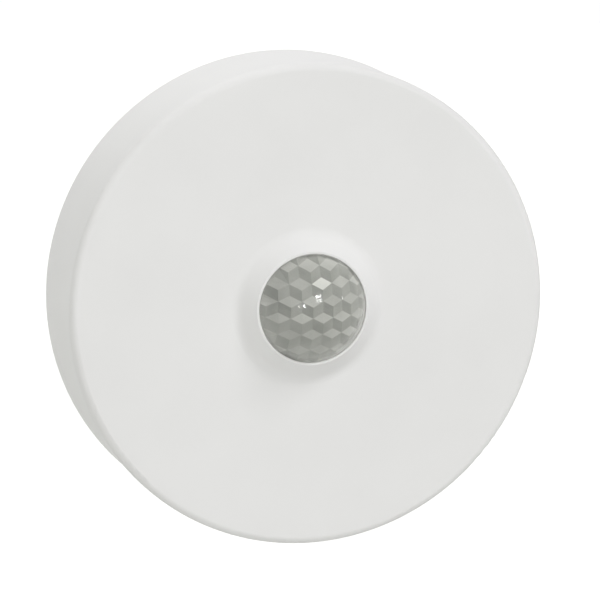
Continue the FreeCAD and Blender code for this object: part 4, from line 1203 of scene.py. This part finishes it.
@dataclass
class Capacitor(Assembly):
    """Smoothing capacitor, whose can carries a dark half-moon that marks its polarity."""

    finishes = {"capacitor_base": Finishes.BLACK, "capacitor_can": Finishes.ALUMINIUM}
    middle: Pair = (20.0, 17.39)  # its axis's place
    top: float = 17.6  # height of the can's top
    radius: float = 2.8  # radius of the can's flat top
    chord: float = 1.1  # how far the half-moon's straight edge lies from the middle

    def build(self) -> None:
        """Build the half-moon."""
        mark = Shape()
        half = math.degrees(math.acos(self.chord / self.radius))
        edge = arc(self.middle, self.radius, 180 - half, 180 + half, 24)
        mark.hull([(x, y, self.top + lift) for x, y in edge for lift in (-SUNK, SUNK)])
        self.place("capacitor_mark", mark, Finishes.BLACK, "black_plastic")


class CoinCell(Assembly):
    """Coin cell in its holder, between two bronze contacts."""

    finishes = {
        "battery_case": Finishes.CELL_STEEL,
        "battery_seal": Finishes.BLACK,
        "battery_cap": Finishes.CELL_STEEL,
        "battery_holder": Finishes.BLACK,
        "battery_contact_negative": Finishes.BRONZE,
        "battery_contact_positive": Finishes.BRONZE,
    }


@dataclass
class ResetSwitch(Assembly):
    """Tact switch with four staked corners, its plunger and the key in the floor."""

    finishes = {
        "reset_switch_body": Finishes.BLACK,
        "reset_switch_cover": Finishes.NICKEL,
        "reset_plunger": Finishes.CREAM,
        "reset_key": Finishes.WHITE,
    }
    middle: Pair = (15.0, 13.0)  # place of its axis
    cover_bottom: float = 9.3  # height of the cover's outer face
    stake: Pair = (0.32, 0.14)  # radius and height of a stake
    root: float = 0.05  # how far a stake reaches into the switch
    inset: float = 1.8  # how far the stakes lie from the axis, across and up

    def build(self) -> None:
        """Build the stakes."""
        shape = Shape()
        radius, height = self.stake
        low, root = self.cover_bottom - height, self.cover_bottom + self.root
        crown = [(r, max(h, low)) for r, h in arc((0.0, self.cover_bottom), radius, 0, -80, 5)]
        for across in (-self.inset, self.inset):
            for up in (-self.inset, self.inset):
                outline = [(0.0, root), (radius, root), *crown, (0.0, low)]
                shape.lathe(outline, 20, self.middle[0] + across, self.middle[1] + up)
        self.place("switch_stakes", shape, Finishes.BLACK, "black_plastic")


# Studio


@dataclass
class Camera:
    """Camera at the photograph's place."""

    azimuth: float = -15.15  # degrees to the right of straight ahead
    elevation: float = 10.5  # degrees above the middle
    distance: float = 0.9  # metres from the sensor's middle plane
    lens: float = 310.16  # focal length in millimetres on a 36 mm sensor
    shift_right: float = 0.00125  # metres that the camera stands off to the left
    shift_up: float = -0.00082  # metres that it stands off downwards
    middle: float = 0.020  # height in front of the wall that it turns about, in metres

    def build(self) -> None:
        """Make the scene's camera."""
        a, e = math.radians(self.azimuth), math.radians(self.elevation)
        back = Vector((math.sin(a) * math.cos(e), -math.cos(a) * math.cos(e), math.sin(e)))
        right = Vector((math.cos(a), math.sin(a), 0.0))
        up = back.cross(right)
        place = Vector((0.0, -self.middle, 0.0)) + back * self.distance
        place -= right * self.shift_right + up * self.shift_up
        data = bpy.data.cameras.new("photo_camera")
        data.lens = self.lens
        data.sensor_width = 36.0
        data.clip_start = 0.01
        data.clip_end = 20.0
        made = new_object("photo_camera", data)
        made.matrix_world = Matrix.Translation(place) @ Matrix((right, up, back)).transposed().to_4x4()
        bpy.context.scene.camera = made


@dataclass(frozen=True)
class SkyLobe:
    """Soft bright region of the sky."""

    way: Point  # direction towards its middle
    power: float  # how narrow it is
    strength: float  # how brightly its middle shines
    tint: Colour = WHITE_LIGHT


@dataclass(frozen=True)
class Key:
    """Lamp that shines evenly from one direction and throws the boss's shadow."""

    strength: float
    way: Point  # direction towards it
    spread: float  # how wide it looks, in radians


@dataclass(frozen=True)
class Pane:
    """Flat lamp beside the middle of the window."""

    right: float  # how far it stands to the right, in metres
    up: float  # how far it stands up
    width: float
    height: float
    strength: float  # how bright it looks


@dataclass
class Studio:
    """Plain light room: a pale floor, a softly uneven sky, two key lamps and a window."""

    # Bright regions of the sky, which light the part; the camera, mirrors and glass see an even white.
    lobes: tuple[SkyLobe, ...] = (
        SkyLobe((0.0, -1.0, 0.0), 8.0, 1.768, (1.0, 0.999, 1.022)),
        SkyLobe((-0.62, -0.72, 0.2), 3.0, 0.755, (1.0, 1.01, 0.945)),
        SkyLobe((0.6, -0.6, -0.5), 3.0, 1.136),
        SkyLobe((-0.55, 0.15, 0.8), 6.0, 0.32),
        SkyLobe((-0.5, 0.6, 0.62), 4.0, 0.961, (1.0, 1.003, 0.985)),
        SkyLobe((0.1, 0.7, 0.7), 4.0, 0.581),
        SkyLobe((0.0, 1.0, 0.0), 2.0, 0.45),
    )
    sky_white: Colour = (1.02, 1.02, 1.02)  # the even white that they see
    keys: tuple[Key, ...] = (
        Key(0.51, (0.441, -0.342, 0.83), 0.12),
        Key(0.71, (0.4415, -0.4695, 0.7647), 0.15),
    )
    window_way: Point = (0.257, -0.944, 0.204)  # direction towards the window, which stands a metre away
    # The window's panes and the small lamps near it.
    panes: tuple[Pane, ...] = (
        Pane(-0.045, 0.04, 0.07, 0.07, 18.0),
        Pane(0.04, 0.04, 0.06, 0.07, 11.0),
        Pane(-0.045, -0.06, 0.07, 0.09, 4.0),
        Pane(0.04, -0.06, 0.06, 0.09, 6.0),
        Pane(-0.65, -0.19, 0.05, 0.05, 24.0),
        Pane(-0.45, -0.19, 0.06, 0.06, 32.0),
        Pane(0.84, -0.05, 0.05, 0.1, 8.0),
    )
    floor_height: float = -0.30
    # The two tones of the floor.
    floor_colours: tuple[Colour, Colour] = ((0.54, 0.545, 0.52), (0.575, 0.58, 0.555))
    floor_glow: float = 0.6  # brightness that the camera sees added to the floor

    def build(self) -> None:
        """Light the room and lay its floor."""
        self.build_sky()
        for number, key in enumerate(self.keys, 1):
            lamp = self.build_lamp(f"key_lamp_{number}", "SUN", Vector(key.way), key.strength)
            lamp.data.angle = key.spread
            lamp.visible_glossy = False
        self.build_window()
        self.build_floor()

    def build_sky(self) -> None:
        """Sky of soft bright regions that the camera, mirrors and glass see as plain white."""
        world = bpy.data.worlds.new("studio_sky")
        world.use_nodes = True
        graph = Tree(world.node_tree)
        direction = graph.add("TexCoord").outputs["Generated"]
        light: Any = (0.0, 0.0, 0.0)
        for lobe in self.lobes:
            facing = graph.vector("DOT_PRODUCT", direction, tuple(Vector(lobe.way).normalized()))["Value"]
            shape = graph.math("POWER", graph.math("MAXIMUM", facing, 0.0), lobe.power)
            colour = tuple(channel * lobe.strength for channel in lobe.tint)
            glow = graph.add("VectorMath", {0: colour, "Scale": shape}, operation="SCALE").outputs[0]
            light = graph.vector("ADD", glow, light)[0]
        colour = graph.mix(graph.seen(), light, self.sky_white)
        background = graph.add("Background", {"Color": colour, "Strength": 1.0})
        graph.add("OutputWorld", {"Surface": background.outputs[0]})
        bpy.context.scene.world = world

    def build_lamp(self, name: str, kind: str, way: Vector, strength: float) -> Object:
        """Add a lamp that lights the room but isn't seen through glass.

        Args:
            name: name of the lamp.
            kind: type of the lamp.
            way: direction towards it.
            strength: its strength or power.

        Returns:
            The lamp.
        """
        data = bpy.data.lights.new(name, kind)
        data.energy = strength
        made = new_object(name, data)
        made.rotation_euler = way.to_track_quat("Z", "Y").to_euler()
        made.visible_transmission = False
        return made

    def build_window(self) -> None:
        """Add a window's panes and small lamps in front, which show only as highlights on the lens."""
        way = Vector(self.window_way).normalized()
        right = Vector((0.0, 0.0, 1.0)).cross(way).normalized()
        up = way.cross(right)
        for index, pane in enumerate(self.panes):
            power = pane.strength * pane.width * pane.height * math.pi
            lamp = self.build_lamp(f"window_pane_{index}", "AREA", way, power)
            lamp.data.shape = "RECTANGLE"
            lamp.data.size, lamp.data.size_y = pane.width, pane.height
            lamp.location = way + right * pane.right + up * pane.up
            lamp.visible_diffuse = False

    def build_floor(self) -> None:
        """Lay the pale floor, which the camera sees as white but for the shadow on it."""
        material = bpy.data.materials.new("pale_floor")
        material.use_nodes = True
        graph = Tree(material.node_tree)
        grain = graph.noise(graph.place(), 60.0, Detail=4.0)
        colour = graph.mix(graph.spread(grain, *NOISE), *self.floor_colours)
        plain = graph.add("BsdfPrincipled", {"Base Color": colour, "Roughness": 0.9}).outputs[0]
        glow = graph.add("Emission", {"Color": WHITE_LIGHT, "Strength": self.floor_glow}).outputs[0]
        both = graph.add("AddShader", {0: plain, 1: glow}).outputs[0]
        lift = graph.add("MixShader", {0: graph.seen(), 1: plain, 2: both})
        graph.add("OutputMaterial", {"Surface": lift.outputs[0]})
        shape = Shape()
        bmesh.ops.create_grid(shape.mesh, x_segments=8, y_segments=8, size=2.5)
        made = shape.settle("floor", material)
        made.location.z = self.floor_height


def main() -> None:
    """Build every assembly, dress it, light it and place the camera."""
    logging.basicConfig(level=logging.INFO, format="%(name)s: %(message)s")
    bpy.context.scene.view_settings.view_transform = "Standard"
    kinds = (
        FrontCover, Housing, WallPlate, Lens, Retainer, Board, Detector, Indicators, Radio, Chips, Capacitor,
        CoinCell, ResetSwitch,
    )
    for kind in kinds:
        assembly = kind()
        assembly.build()
        assembly.dress()
        names = ", ".join(piece.name for piece in assembly.pieces)
        LOG.info("%s: %s", kind.__name__, names or "CAD nodes only")
    Studio().build()
    Camera().build()


if __name__ == "__main__":
    main()
